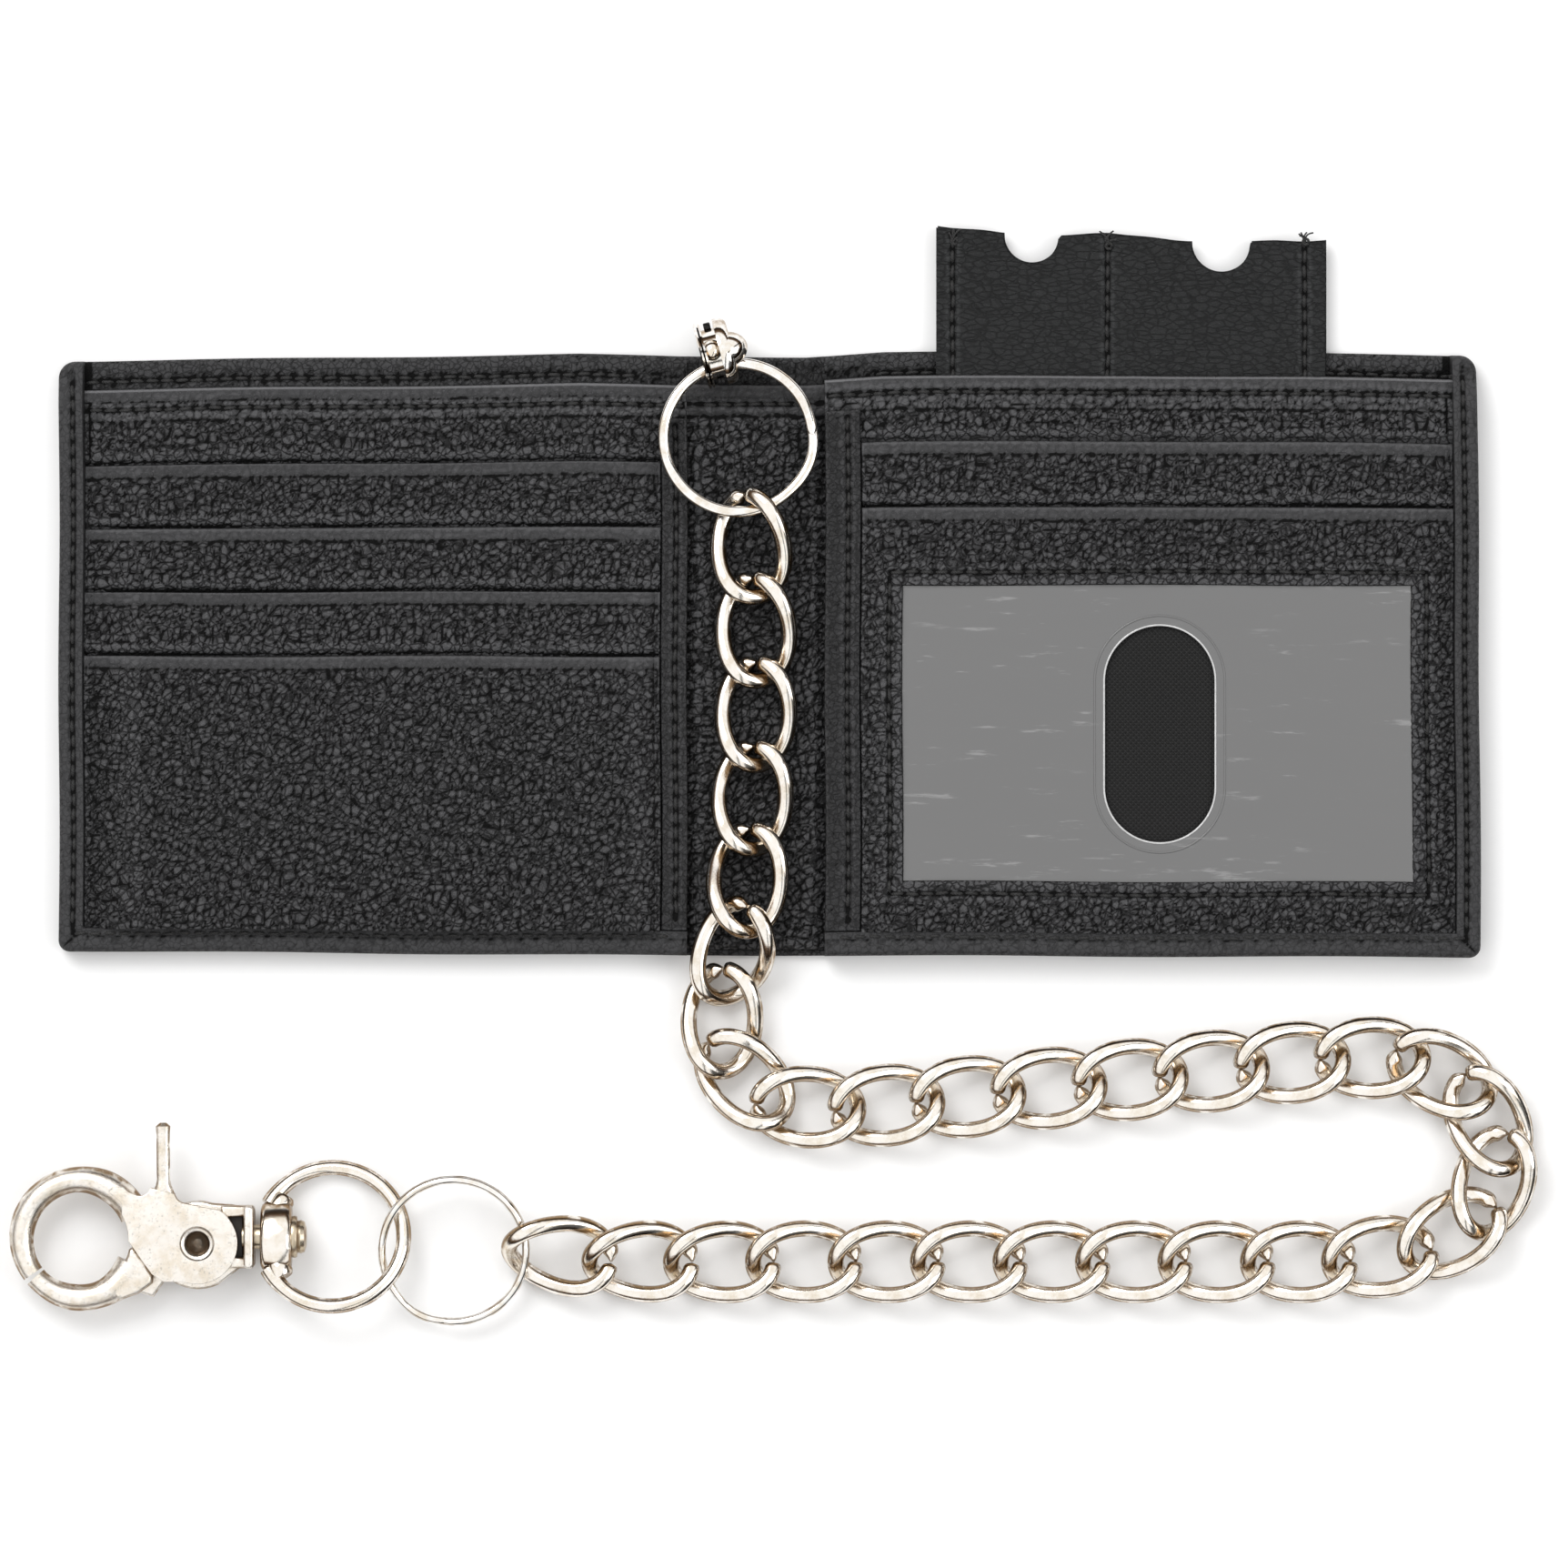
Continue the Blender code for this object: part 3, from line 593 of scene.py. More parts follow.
def slab(name, outline, bottom, top, look, bevel, holes=()):
    """A flat plate with rounded edges, from an outline."""
    data = bpy.data.curves.new(name, "CURVE")
    data.dimensions = "2D"
    data.fill_mode = "BOTH"
    for points in (outline, *holes):
        spline = data.splines.new("POLY")
        spline.points.add(len(points) - 1)
        for point, (x, y) in zip(spline.points, points):
            point.co = (x * MM, y * MM, 0, 1)
        spline.use_cyclic_u = True
    data.extrude = (top - bottom) / 2 * MM
    flat = shown(name + "_outline", data)
    bpy.context.view_layer.update()
    mesh = bpy.data.meshes.new_from_object(flat.evaluated_get(bpy.context.evaluated_depsgraph_get()))
    bpy.data.objects.remove(flat, do_unlink=True)
    work = bmesh.new()
    work.from_mesh(mesh)
    bmesh.ops.remove_doubles(work, verts=work.verts, dist=0.01 * MM)
    bmesh.ops.dissolve_limit(work, angle_limit=0.01, verts=work.verts, edges=work.edges)
    bmesh.ops.recalc_face_normals(work, faces=work.faces)
    bmesh.ops.translate(work, verts=work.verts, vec=(0, 0, (top + bottom) / 2 * MM))
    if bevel:
        level = [e for e in work.edges if len(e.link_faces) == 2
                 and abs(e.link_faces[0].normal.z - e.link_faces[1].normal.z) > 0.5]
        bmesh.ops.bevel(work, geom=level, offset=bevel * MM, segments=5, profile=0.5,
                        affect="EDGES", clamp_overlap=True)
    work.to_mesh(mesh)
    work.free()
    mesh.materials.clear()
    mesh.materials.append(look)
    return shown(name, mesh)


def join(name, pieces):
    """Several meshes as one object."""
    bpy.ops.object.select_all(action="DESELECT")
    for piece in pieces:
        piece.select_set(True)
    bpy.context.view_layer.objects.active = pieces[0]
    if len(pieces) > 1:
        bpy.ops.object.join()
    pieces[0].name = name
    return pieces[0]


# ---------------------------------------------------------------- stitching

PITCH = 2.35               # from one stitch to the next
GROOVE = 0.30              # how deep a seam pulls the leather in


def along_line(x, y, start, end):
    """Distance along a stitch line and off it, and a share that is 1 between its ends."""
    dx, dy = end[0] - start[0], end[1] - start[1]
    length = math.hypot(dx, dy)
    s = ((x - start[0]) * dx + (y - start[1]) * dy) / length
    off = (-(x - start[0]) * dy + (y - start[1]) * dx) / length
    inside = smooth(s, -0.5, 0.2) * (1 - smooth(s, length - 0.2, length + 0.5))
    return s, off, inside


def sewn(x, y, seams):
    """How far the thread pulls the leather down at each point."""
    depth = 0
    for start, end in seams:
        s, off, inside = along_line(x, y, start, end)
        hole = 0.5 + 0.5 * np.cos(2 * math.pi * s / PITCH)
        pull = dent(off, 0.42) * (0.55 + 0.45 * hole) + 0.22 * dent(off, 1.1) * hole
        depth = depth + GROOVE * pull * inside
    return depth


def stitches(name, seams, surface, body, warp=lay_out):
    """Each seam's visible stitches, as short threads that dive into their holes."""
    rings, sides = 7, 6
    points, faces = [], []
    for start, end in seams:
        length = math.hypot(end[0] - start[0], end[1] - start[1])
        ux, uy = (end[0] - start[0]) / length, (end[1] - start[1]) / length
        for number in range(int(length / PITCH)):
            s0 = (number + 0.5) * PITCH
            sway = RANDOM.uniform(-0.10, 0.10, 2)
            t = np.linspace(-1, 1, rings)
            s = s0 + t * PITCH * 0.43
            off = sway[0] + sway[1] * t
            x = start[0] + ux * s - uy * off
            y = start[1] + uy * s + ux * off
            z = surface(x, y)[0] + 0.20 - 0.38 * t ** 4
            x, y = warp(x, y)
            first = len(points)
            for i in range(rings):
                radius = 0.27 * (1 - 0.35 * abs(t[i]) ** 3)
                for k in range(sides):
                    a = 2 * math.pi * k / sides
                    points.append((x[i] - uy * radius * math.cos(a), y[i] + ux * radius * math.cos(a),
                                   z[i] + radius * math.sin(a)))
            faces += tube(first, rings, sides)
    thing = outward(mesh_piece(name, points, faces, [THREAD]))
    finish_piece(thing, body, sharp=60)


# ---------------------------------------------------------------- leather surfaces

COVER_TOP = 1.55           # height of the outer leather's inside
SEWN_PLY = 0.30            # each layer's share of the height where the layers are sewn together
LOOSE_PLY = 0.62           # and what it gains in the middle, where they stand apart
MITRE = 0.28               # half width of the hem's mitre at a corner
STIFF_FOLD = 0.72          # how much of the pebbling a fold takes away
HEM_SEAM = 3.0             # distance from the foot to its seam
MOUTH_SEAM = 3.3           # distance from the mouth to its seam

def grained(x, y, seed, amount=1.0, cell=1.5):
    """Real relief of the leather: pebbles, soft wrinkles and a slow unevenness."""
    return amount * (0.21 * pebble(x, y, cell, seed) + 0.05 * ripple(x, y, 3.2, seed + 11)
                     + 0.10 * ripple(x, y, 22, seed + 21)) - 0.12 * amount


def folded_edge(distance):
    """A turned edge seen from above: how much it rises, and how smooth it is."""
    stiff = 1 - smooth(distance, 1.5, 2.8)
    rise = 0.10 * dent(distance - 1.0, 0.9) - 0.07 * dent(distance - 2.2, 0.22)
    return rise - edge_drop(distance, 0.5), stiff


class Half:
    """One half of the wallet. side is -1 on the left and 1 on the right, first is the height of its
    lowest layer and rim_top that of its hem."""

    def __init__(self, side, cover, first, rim_top):
        (self.x0, self.y0, _), (self.x1, self.y1, _) = limits(cover)
        self.side, self.first, self.rim_top = side, first, rim_top
        self.rim = 3.9      # width of the turned hem
        self.inner = (self.x0 + self.rim, self.x1) if side < 0 else (self.x0, self.x1 - self.rim)
        self.far = self.x0 if side < 0 else self.x1

    def level(self, n, x):
        """The height of the nth layer: spread in the middle, pressed together where it is sewn."""
        edge = np.minimum(np.abs(x - self.inner[0]), np.abs(x - self.inner[1]))
        spread = smooth(edge, 0, 9)
        return self.first + n * (SEWN_PLY + LOOSE_PLY * spread)


LEFT = Half(-1, "cover_left", 2.45, 4.5)
RIGHT = Half(1, "cover_right", 4.2, 5.8)


def cover_surface(half, seams, seed):
    """The outer leather's inside: a bare band along the mouth, a turned hem at the far side and foot."""
    def surface(x, y):
        out = (x - half.x0) if half.side < 0 else (half.x1 - x)
        foot, top = y - half.y0, half.y1 - y
        border = np.minimum(out, foot)
        in_rim = 1 - smooth(border, half.rim - 0.1, half.rim + 0.2)
        fade = smooth(top, 1.0, 7.0)
        height = COVER_TOP + in_rim * ((half.rim_top - COVER_TOP) * (0.55 + 0.45 * fade))
        off_diagonal = (out - foot) * 0.707
        mitre = dent(off_diagonal, MITRE) * in_rim * (np.maximum(out, foot) < half.rim + 0.5)
        edge = np.minimum(np.minimum(out, foot), top)
        height = height - edge_drop(edge, 1.15) - 0.3 * mitre
        height = height + 0.16 * dent(top - 1.3, 1.0) * (1 - in_rim)
        height = height + grained(x, y, seed, 0.55 + 0.4 * (1 - in_rim), 1.05) - sewn(x, y, seams)
        return height, 0.35 + 0.4 * in_rim
    return surface


def pocket_surface(half, n, top_edge, next_edge, seams, seed):
    """One pocket panel: a smooth turned edge, pebbled below it, and curling under the next edge."""
    def surface(x, y):
        down = top_edge - y
        rise, stiff = folded_edge(down)
        height = half.level(n, x) + rise
        if next_edge is not None:
            above = y - next_edge
            height = height - 0.62 * (1 - smooth(above, -0.2, 1.7)) - 0.35 * dent(above - 0.15, 0.4)
            growing = 1 + 0.6 * (1 - smooth(above, 0, 5))
        else:
            growing = 1
        height = height + grained(x, y, seed, 1 - STIFF_FOLD * stiff) * growing
        return height - sewn(x, y, seams), stiff
    return surface


def make_panel(name, node, half, n, x0, x1, y0, y1, next_edge, body, seams=(), seed=0, thick=0.75,
               hole=None, surface=None):
    """A pocket panel with its stitches, standing for its CAD node."""
    surface = surface or pocket_surface(half, n, y1, next_edge, seams, seed)
    in_sight = y0 if next_edge is None else next_edge - 1.2
    xs, ys = lines(x0, x1), lines(y0, y1, (in_sight, y1))
    if hole:
        xs = np.unique(np.concatenate([xs, [hole[0], hole[1]]]))
        ys = np.unique(np.concatenate([ys, [hole[2], hole[3]]]))

    def underside(x, y):
        return half.level(n, x) - thick

    def rounded(x, y):
        height, stiff = surface(x, y)
        side = np.minimum(x - x0, x1 - x)
        height = height - edge_drop(side, 0.3)
        if hole:
            beside = np.maximum(hole[0] - x, x - hole[1])
            beyond = np.maximum(hole[2] - y, y - hole[3])
            height = height - edge_drop(np.maximum(np.maximum(beside, beyond), 0), 0.35)
        return height, stiff

    thing = panel(name, xs, ys, rounded, underside, [LEATHER], hole=hole)
    finish_piece(thing, body, [node], sharp=55)
    if seams:
        stitches(name + "_stitches", seams, rounded, body)
    return thing


def make_cover(name, node, half, body, seed):
    """The outer leather of one half, with the stitching of its hem."""
    far = half.far - half.side * 2.3
    near = half.x1 - 8 if half.side < 0 else half.x0 + 8
    foot = half.y0 + HEM_SEAM
    mouth = half.y1 - MOUTH_SEAM
    seams = [((near, mouth), (far, mouth)), ((far, half.y1 - 3.6), (far, foot)),
             ((far, foot), (half.x1 - 0.5 if half.side < 0 else half.x0 + 0.5, foot))]
    surface = cover_surface(half, seams, seed)
    xs = lines(half.x0, half.x1, step=COVER_STEP)
    ys = lines(half.y0, half.y1, step=COVER_STEP)
    corners = [((half.far, half.y1, half.side, 1), 2.6), ((half.far, half.y0, half.side, -1), 1.8)]

    def underside(x, y):
        return 0.25 * dent(np.minimum(y - half.y0, half.y1 - y), 0.5)

    thing = panel(name, xs, ys, surface, underside, [HEM], corners=corners)
    finish_piece(thing, body, [node], sharp=60)
    stitches(name + "_stitches", seams, surface, body)


def left_half():
    """Cover, bill divider, four stepped card pockets and the strip that closes them."""
    body, half = "left_half", LEFT
    make_cover("left_cover", "cover_left", half, body, 3)
    x0 = half.inner[0] + 0.05
    strip_x0 = limits("binding_left")[0][0]
    edges = [limits(f"card_pocket_left_{k}")[1][1] for k in range(1, 5)]
    bottom, top = limits("divider_left")[0][1], limits("divider_left")[1][1]
    seam = ((half.x1 - 0.4, top - MOUTH_SEAM), (half.x0 + 3.2, top - MOUTH_SEAM))
    make_panel("left_divider", "divider_left", half, 0, half.x0 + 2.7, half.x1, bottom, top, edges[0],
               body, [seam], 31, surface=divider_surface(half, top, edges[0], [seam], 31, x0 + 0.9))
    for k, edge in enumerate(edges):
        below = edges[k + 1] if k < 3 else None
        foot = bottom - 0.2 if k == 3 else max(bottom, edge - 30)
        make_panel(f"left_pocket_{k + 1}", f"card_pocket_left_{k + 1}", half, k + 1, x0, strip_x0 - 0.12,
                   foot, edge, below, body, seed=40 + k)
    binding("left_binding", "binding_left", strip_x0, half.x1, bottom, top - 5.3, 4.35,
            (half.x1 + strip_x0) / 2 + 0.2, body, 51)


def divider_surface(half, top, next_edge, seams, seed, side_line):
    """The bill divider: a turned and sewn mouth, then a crease, then the first pocket's leather."""
    plain = pocket_surface(half, 0, top, next_edge, seams, seed)

    def surface(x, y):
        height, stiff = plain(x, y)
        down = top - y
        crease = 0.13 * dent(down - 5.3, 0.2)
        edge = 0.25 * dent(x - side_line, 0.22) * smooth(down, 1.5, 3)
        stiff = np.maximum(stiff, 0.55 * (1 - smooth(down, 4.8, 5.6)))
        # Painted highlight: the fold value rises above 1 just below the top edge, which the leather look
        # turns into a light line.
        return height - crease - edge, stiff + 1.0 * dent(down - 0.3, 0.17)
    return surface


def binding(name, node, x0, x1, y0, y1, height, seam_x, body, seed):
    """A narrow strip sewn over the ends of the pockets."""
    seam = ((seam_x, y1 - 1.0), (seam_x, y0 + 1.5))

    def surface(x, y):
        side = np.minimum(x - x0, x1 - x)
        end = np.minimum(y - y0, y1 - y)
        level = height - edge_drop(side, 0.5) - edge_drop(end, 0.4)
        return level + grained(x, y, seed, 0.45, 1.0) - sewn(x, y, [seam]), 0.5

    thing = panel(name, lines(x0, x1), lines(y0, y1), surface, lambda x, y: height - 1.5, [HEM])
    finish_piece(thing, body, [node], sharp=55)
    stitches(name + "_stitches", [seam], surface, body)


def right_half():
    """Cover, bill divider, a card pocket and the framed card window."""
    body, half = "right_half", RIGHT
    make_cover("right_cover", "cover_right", half, body, 5)
    bottom, top = limits("divider_right")[0][1], limits("divider_right")[1][1]
    strip = limits("binding_right")
    pocket_top = limits("card_pocket_right")[1][1]
    window_top = limits("window_frame")[1][1]
    x0, x1 = strip[1][0] + 0.12, half.inner[1] - 0.05
    seam = ((half.x0 + 0.4, top - 2.7), (half.x1 - 3.2, top - 2.7))
    mouth = divider_surface(half, top, pocket_top, [seam], 61, x1 - 0.9)
    make_panel("right_divider", "divider_right", half, 0, half.x0, half.x1 - 2.7, bottom, top, pocket_top,
               body, [seam], 61, thick=0.5, surface=mouth)
    make_panel("right_pocket", "card_pocket_right", half, 1, x0, x1, bottom + 20, pocket_top, window_top,
               body, seed=62)
    (wx0, wy0, _), (wx1, wy1, _) = limits("window_film")
    opening = (wx0 + 3, wx1 - 3, wy0 + 3, wy1 - 3)
    gap = 2.1
    sx0, sx1, sy0, sy1 = opening[0] - gap, opening[1] + gap + 0.4, opening[2] - gap, opening[3] + gap
    turns = [(sx0, sy1), (sx1, sy1), (sx1, sy0), (sx0, sy0)]
    seams = list(zip(turns, turns[1:] + turns[:1]))
    make_panel("window_border", "window_frame", half, 2, x0, x1, bottom - 0.2, window_top, None, body,
               seams, 63, hole=opening)
    binding("right_binding", "binding_right", strip[0][0], strip[1][0], bottom, top - 5.0, 5.6,
            strip[1][0] - 2.0, body, 65)
    card_window(opening)


def stadium(centre, half_x, half_y, steps=20):
    """A slot's outline: two straight sides and two half-round ends."""
    cx, cy = centre
    straight = half_y - half_x
    upper = arc((cx, cy + straight), half_x, 0, 180, steps)
    return upper + arc((cx, cy - straight), half_x, 180, 360, steps)


def widened(opening, margin):
    return opening[0] - margin, opening[1] + margin, opening[2] - margin, opening[3] + margin


def card_window(opening):
    """Grey film with a thumb slot, over a stretched nylon lining."""
    thickness = 0.25
    film_top = RIGHT.level(2, np.array([60.0]))[0] - 0.5
    west, east, south, north = widened(opening, 0.8)
    grown = [(west, south), (east, south), (east, north), (west, north)]
    middle = ((opening[0] + opening[1]) / 2 + 0.45, (opening[2] + opening[3]) / 2)
    half_x, half_y = 8.75, 17.15
    film = slab("window_film_sheet", grown, film_top - thickness, film_top, FILM, 0,
                holes=[stadium(middle, half_x, half_y)])
    finish_piece(film, "right_half", ["window_film"])
    for label, out, radius, lift in (("slot_lip", 0.02, 0.16, 0.0), ("slot_emboss", 1.5, 0.22, -0.10)):
        loop = [(x, y, film_top + lift) for x, y in stadium(middle, half_x + out, half_y + out, 36)]
        lip = sweep(label, loop, (radius, radius), LIP if label == "slot_lip" else FILM, 10, closed=True)
        finish_piece(lip, "right_half")
    x0, x1, y0, y1 = widened(opening, 1.5)

    def woven(x, y, below=0.55):
        return film_top - below + 0.05 * ripple(x, y, 26, 91)

    lining = panel("nylon_lining", np.arange(x0, x1 + 0.5, 0.8), np.arange(y0, y1 + 0.5, 0.8),
                   lambda x, y: (woven(x, y), 0), lambda x, y: woven(x, y, 0.80), [NYLON],
                   both_sides=True, warp=unmoved)
    finish_piece(lining, "right_half", ["window_lining"])


# ---------------------------------------------------------------- the gutter and its tab

def gutter():
    """The spine's two layers: outer leather, and the wrinkled lining that carries the sewn mouth across."""
    half_width = limits("spine")[1][0]
    mouth = limits("divider_left")[1][1] + 0.2
    tall = LEFT.y1
    seam = [((-half_width - 0.5, mouth - 3.2), (half_width + 0.5, mouth - 3.0))]

    def outer(x, y):
        edge = np.minimum(y + tall, tall - y)
        return 1.5 - edge_drop(edge, 0.7) + grained(x, y, 71, 0.6), 0.2

    def inner(x, y):
        down = mouth - y
        rise, stiff = folded_edge(down)
        deep = 0.26 * pebble(x, y, 1.8, 73) + 0.14 * pebble(x, y * 1.6, 1.0, 74)
        deep = deep + 0.16 * ripple(x, y, 5, 75)
        band = 1 - smooth(down, 4.6, 5.6)
        level = 2.55 + rise - 0.18 * dent(down - 5.2, 0.3)
        foot = edge_drop(y + tall - 1.0, 1.2)
        sag = 0.5 * smooth(np.abs(x), 8.6, 10.9)
        height = level - foot - sag * (1 - band) + deep * (1 - 0.8 * band)
        return height - sewn(x, y, seam), np.maximum(stiff, 0.6 * band)

    reach = half_width + 0.35
    bend_end, bend_start = half_width + 0.3, 8.5
    sides = (("left", -reach, 0.0, "spine", "left_half", -bend_start, -bend_end),
             ("right", 0.0, reach, "right_half", "spine", bend_end, bend_start))
    layers = (("outer", outer, 0.0, -tall, tall, HEM), ("inner", inner, 1.75, -tall + 1, mouth, GUTTER))
    for label, x0, x1, near, far, start, end in sides:
        for layer, surface, base, y0, y1, look in layers:
            thing = panel(f"gutter_{label}_{layer}", lines(x0, x1), lines(y0, y1), surface,
                          lambda x, y: 0.0 * x + base, [look], both_sides=True)
            shade(thing.data, 60)
            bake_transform(thing)
            if (label, layer) == ("left", "outer"):
                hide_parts("spine")
    stitches("gutter_stitches", [((-8.4, mouth - 3.2), (8.4, mouth - 3.05))], inner, "spine")


def grommet():
    """The flanged eyelet in its leather tab, a domed cap behind it and a ball of rolled rim on top."""
    hinge = next(joint for joint in frame["joints"] if joint["name"] == "ring_swing")
    centre = Vector(hinge["pos_m"]) / MM
    heading = math.atan2(-hinge["axis"][1], -hinge["axis"][0])
    axis = Vector((math.cos(heading), math.sin(heading), 0))
    flange = [(3.5, -2.0), (5.1, -2.15), (5.35, -1.95), (5.2, -1.7), (4.6, -1.62), (5.25, -1.42),
              (5.1, -1.15), (4.0, -1.1), (4.0, 1.4), (4.3, 1.75), (4.1, 2.05), (3.7, 1.9), (3.45, 1.5)]
    eyelet = turned("grommet_flange", flange, centre, axis, RING)
    finish_piece(eyelet, "spine", ["grommet_eyelet"], 35)
    cap = [(4.35, 0.9), (5.3, 0.95), (5.35, 1.25)]
    cap += [(4.35 + math.cos(a), 1.3 + 1.7 * math.sin(a)) for a in degrees(10, 110, 8)]
    cap += [(4.0, 2.6), (4.1, 1.8)]
    dome = turned("grommet_cap", cap, centre, axis, RING)
    knob = centre + axis * 0.1 + Vector((0, 0, 3.2))
    ball = [(max(1.75 * math.sin(a), 0.0), -1.75 * math.cos(a)) for a in degrees(0, 180, 15)]
    rolled = turned("grommet_roll", ball, knob + Vector((-0.4, 0.3, 0)), axis, RING)
    stud = [(2.9 * math.cos(a), 3.9 * math.sin(a)) for a in degrees(0, 90, 11)]
    stud = [(0, 0)] + stud[:-1] + [(0, 3.9)]
    stud_at = centre + axis * 1.5 + Vector((0, 0, 2.4))
    boss = turned("grommet_stud", stud, stud_at, axis, RING)
    finish_piece(join("grommet_cap", [dome, rolled, boss]), "spine", ["grommet_washer"], 40)
    lug = arc((0, 0), 5.0, -50, 15, 8) + arc((0, 0), 4.15, 15, -195, 30) + arc((0, 0), 5.0, 165, 230, 8)
    lug += [(-4.4, -5.6), (4.4, -5.6)]
    leather = slab("grommet_tab", lug, -0.55, 0.55, HEM, 0.2)
    upright = Matrix.Rotation(math.pi / 2, 4, "Y") @ Matrix.Rotation(math.pi / 2, 4, "Z")
    turn = Matrix.Rotation(heading, 4, "Z") @ upright
    leather.data.transform(Matrix.Translation(centre * MM) @ turn)
    finish_piece(leather, "spine")


# ---------------------------------------------------------------- the key sleeve

PLY = 0.42                 # thickness of a sleeve leaf under its relief


def key_sleeve():
    """Two smooth leaves sewn at the sides and middle, with thumb notches and frayed thread ends."""
    (x0, foot, z0), (x1, top, z1) = limits("key_sleeve_front")
    notches = ((x0 + 14.9, top - 0.75, 4.35), (x0 + 44.8, top - 1.9, 4.65))
    seam_x = (x0 + 2.6, x0 + 27.0, x1 - 3.2)

    def upper(x):
        edge = np.interp(x, (x0, x0 + 10, x0 + 19, x0 + 27, x0 + 40, x0 + 50, x1),
                         (top + 0.7, top - 0.4, top - 0.8, top - 0.5, top - 1.7, top - 1.7, top - 1.6))
        edge = edge + 0.15 * ripple(x, 0 * x, 7, 83)
        for cx, cy, radius in notches:
            inside = np.abs(x - cx) < radius
            arch = cy - np.sqrt(np.clip(radius ** 2 - (x - cx) ** 2, 0, None))
            edge = np.where(inside, np.minimum(edge, arch), edge)
        return edge

    marks = [x0, x1]
    for cx, _, radius in notches:
        marks += list(cx + radius * np.sin(np.linspace(-math.pi / 2, math.pi / 2, 41)))
    xs = np.unique(np.round(np.concatenate([lines(x0, x1), marks]), 3))
    xs = xs[np.concatenate([[True], np.diff(xs) > 0.02])]
    seams = [((sx, top - 0.4), (sx, top - 26)) for sx in seam_x]

    def make(name, base, seed, with_seams):
        def surface(x, y):
            lines_down = 0.05 * ripple(x + y * 0.7, y * 0.6, 2.4, seed) + 0.12 * ripple(x, y, 17, seed + 1)
            return base + PLY + lines_down * 0.6 + (-sewn(x, y, seams) if with_seams else 0), 0.5

        def fitted(x, share):
            return x, foot + (upper(x) - foot) * share

        t = np.concatenate([np.linspace(0, 0.6, 10), np.linspace(0.6, 1, 90)[1:]])
        leaf = panel(name, xs, t, lambda x, share: surface(*fitted(x, share)),
                     lambda x, share: base + 0 * x, [SLEEVE, RAW], warp=fitted)
        return leaf, surface

    back, _ = make("sleeve_back_leaf", limits("key_sleeve_back")[0][2], 85, False)
    back.data.transform(shift(0.25, 0.3, 0))
    finish_piece(back, "key_sleeve", ["key_sleeve_back"], 50)
    front, surface = make("sleeve_front_leaf", z0, 87, True)
    finish_piece(front, "key_sleeve", ["key_sleeve_front"], 50)
    stitches("sleeve_stitches", seams, surface, "key_sleeve", warp=unmoved)
    frays = []
    for number, sx in enumerate(seam_x):
        for k in range(5):
            lean, reach = RANDOM.uniform(-1.2, 1.2), RANDOM.uniform(0.9, 2.2)
            start = Vector((sx + RANDOM.uniform(-0.3, 0.3), top - 1.0 - RANDOM.uniform(0, 1.2), z1 - 0.15))
            path = [start + Vector((lean * s * s, reach * s - 0.6 * s * s * k / 4, 0.3 * math.sin(2.5 * s)))
                    for s in np.linspace(0, 1, 9)]
            frays.append(sweep(f"fray_{number}_{k}", path, (0.13, 0.13), THREAD, 6))
        knot = [start + Vector((0.45 * math.cos(a), 0.45 * math.sin(a) - 0.5, 0.12 * math.sin(3 * a)))
                for a in np.linspace(0, 5.5, 16)]
        frays.append(sweep(f"knot_{number}", knot, (0.22, 0.22), THREAD, 8))
    finish_piece(join("sleeve_thread_ends", frays), "key_sleeve", sharp=60)


# ---------------------------------------------------------------- chain and rings

LINK_LENGTH, LINK_WIDTH = 8.1, 5.25      # half sizes of the middle line of a link's wire
LINK_TWIST = 1.85                        # how far its sides rise and fall
WIRE = 1.27                              # half the wire's thickness
WIDER = 1.06                             # the wire is drawn this much wider, as the photo shows


def link_mesh():
    """One curb link, cut at one end where a chisel-pointed end meets a rounded one."""
    gap = 0.03
    t = np.linspace(math.pi + gap, 3 * math.pi - gap, 92)
    path = np.stack([LINK_LENGTH * np.cos(t), LINK_WIDTH * np.sin(t), -LINK_TWIST * np.sin(2 * t)], -1)
    run = np.concatenate([[0], np.cumsum(np.linalg.norm(np.diff(path, axis=0), axis=1))])
    wedge = np.clip(run / 1.6, 0.08, 1) ** 0.7
    cap = np.sqrt(np.clip(1 - (1 - np.clip((run[-1] - run) / 0.9, 0, 1)) ** 2, 0.03, 1))
    across = WIDER * WIRE * wedge * cap
    high = WIRE * (0.35 + 0.65 * wedge) * cap
    link = sweep("chain_link_look", path, (across, high), NICKEL, 18, flats=0.035)
    mesh = link.data
    shade(mesh, 50)
    bpy.data.objects.remove(link, do_unlink=True)
    return mesh


def chain():
    """Each link's own long axis, found from its CAD node, carries one finished link."""
    names = sorted(n for n in frame["nodes"] if n.startswith("chain_link_"))
    clouds = {n: np.array([v.co for v in frame["nodes"][n].data.vertices]) for n in names}
    middles = [clouds[n].mean(0) for n in names]
    mesh = link_mesh()
    for i, node in enumerate(names):
        spread = clouds[node] - middles[i]
        _, axes = np.linalg.eigh(spread.T @ spread)
        heading = middles[min(i + 1, len(names) - 1)] - middles[max(i - 1, 0)]
        along = axes[:, 2] * np.sign(axes[:, 2] @ heading)
        above = axes[:, 0] * np.sign(axes[2, 0])
        aside = np.cross(above, along)
        turn = Matrix([[along[k], aside[k], above[k]] for k in range(3)]).to_4x4()
        thing = shown(node.replace("chain", "curb"), mesh)
        thing.matrix_world = Matrix.Translation(middles[i]) @ turn
        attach(thing, node.replace("chain_", ""))
        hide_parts(node)


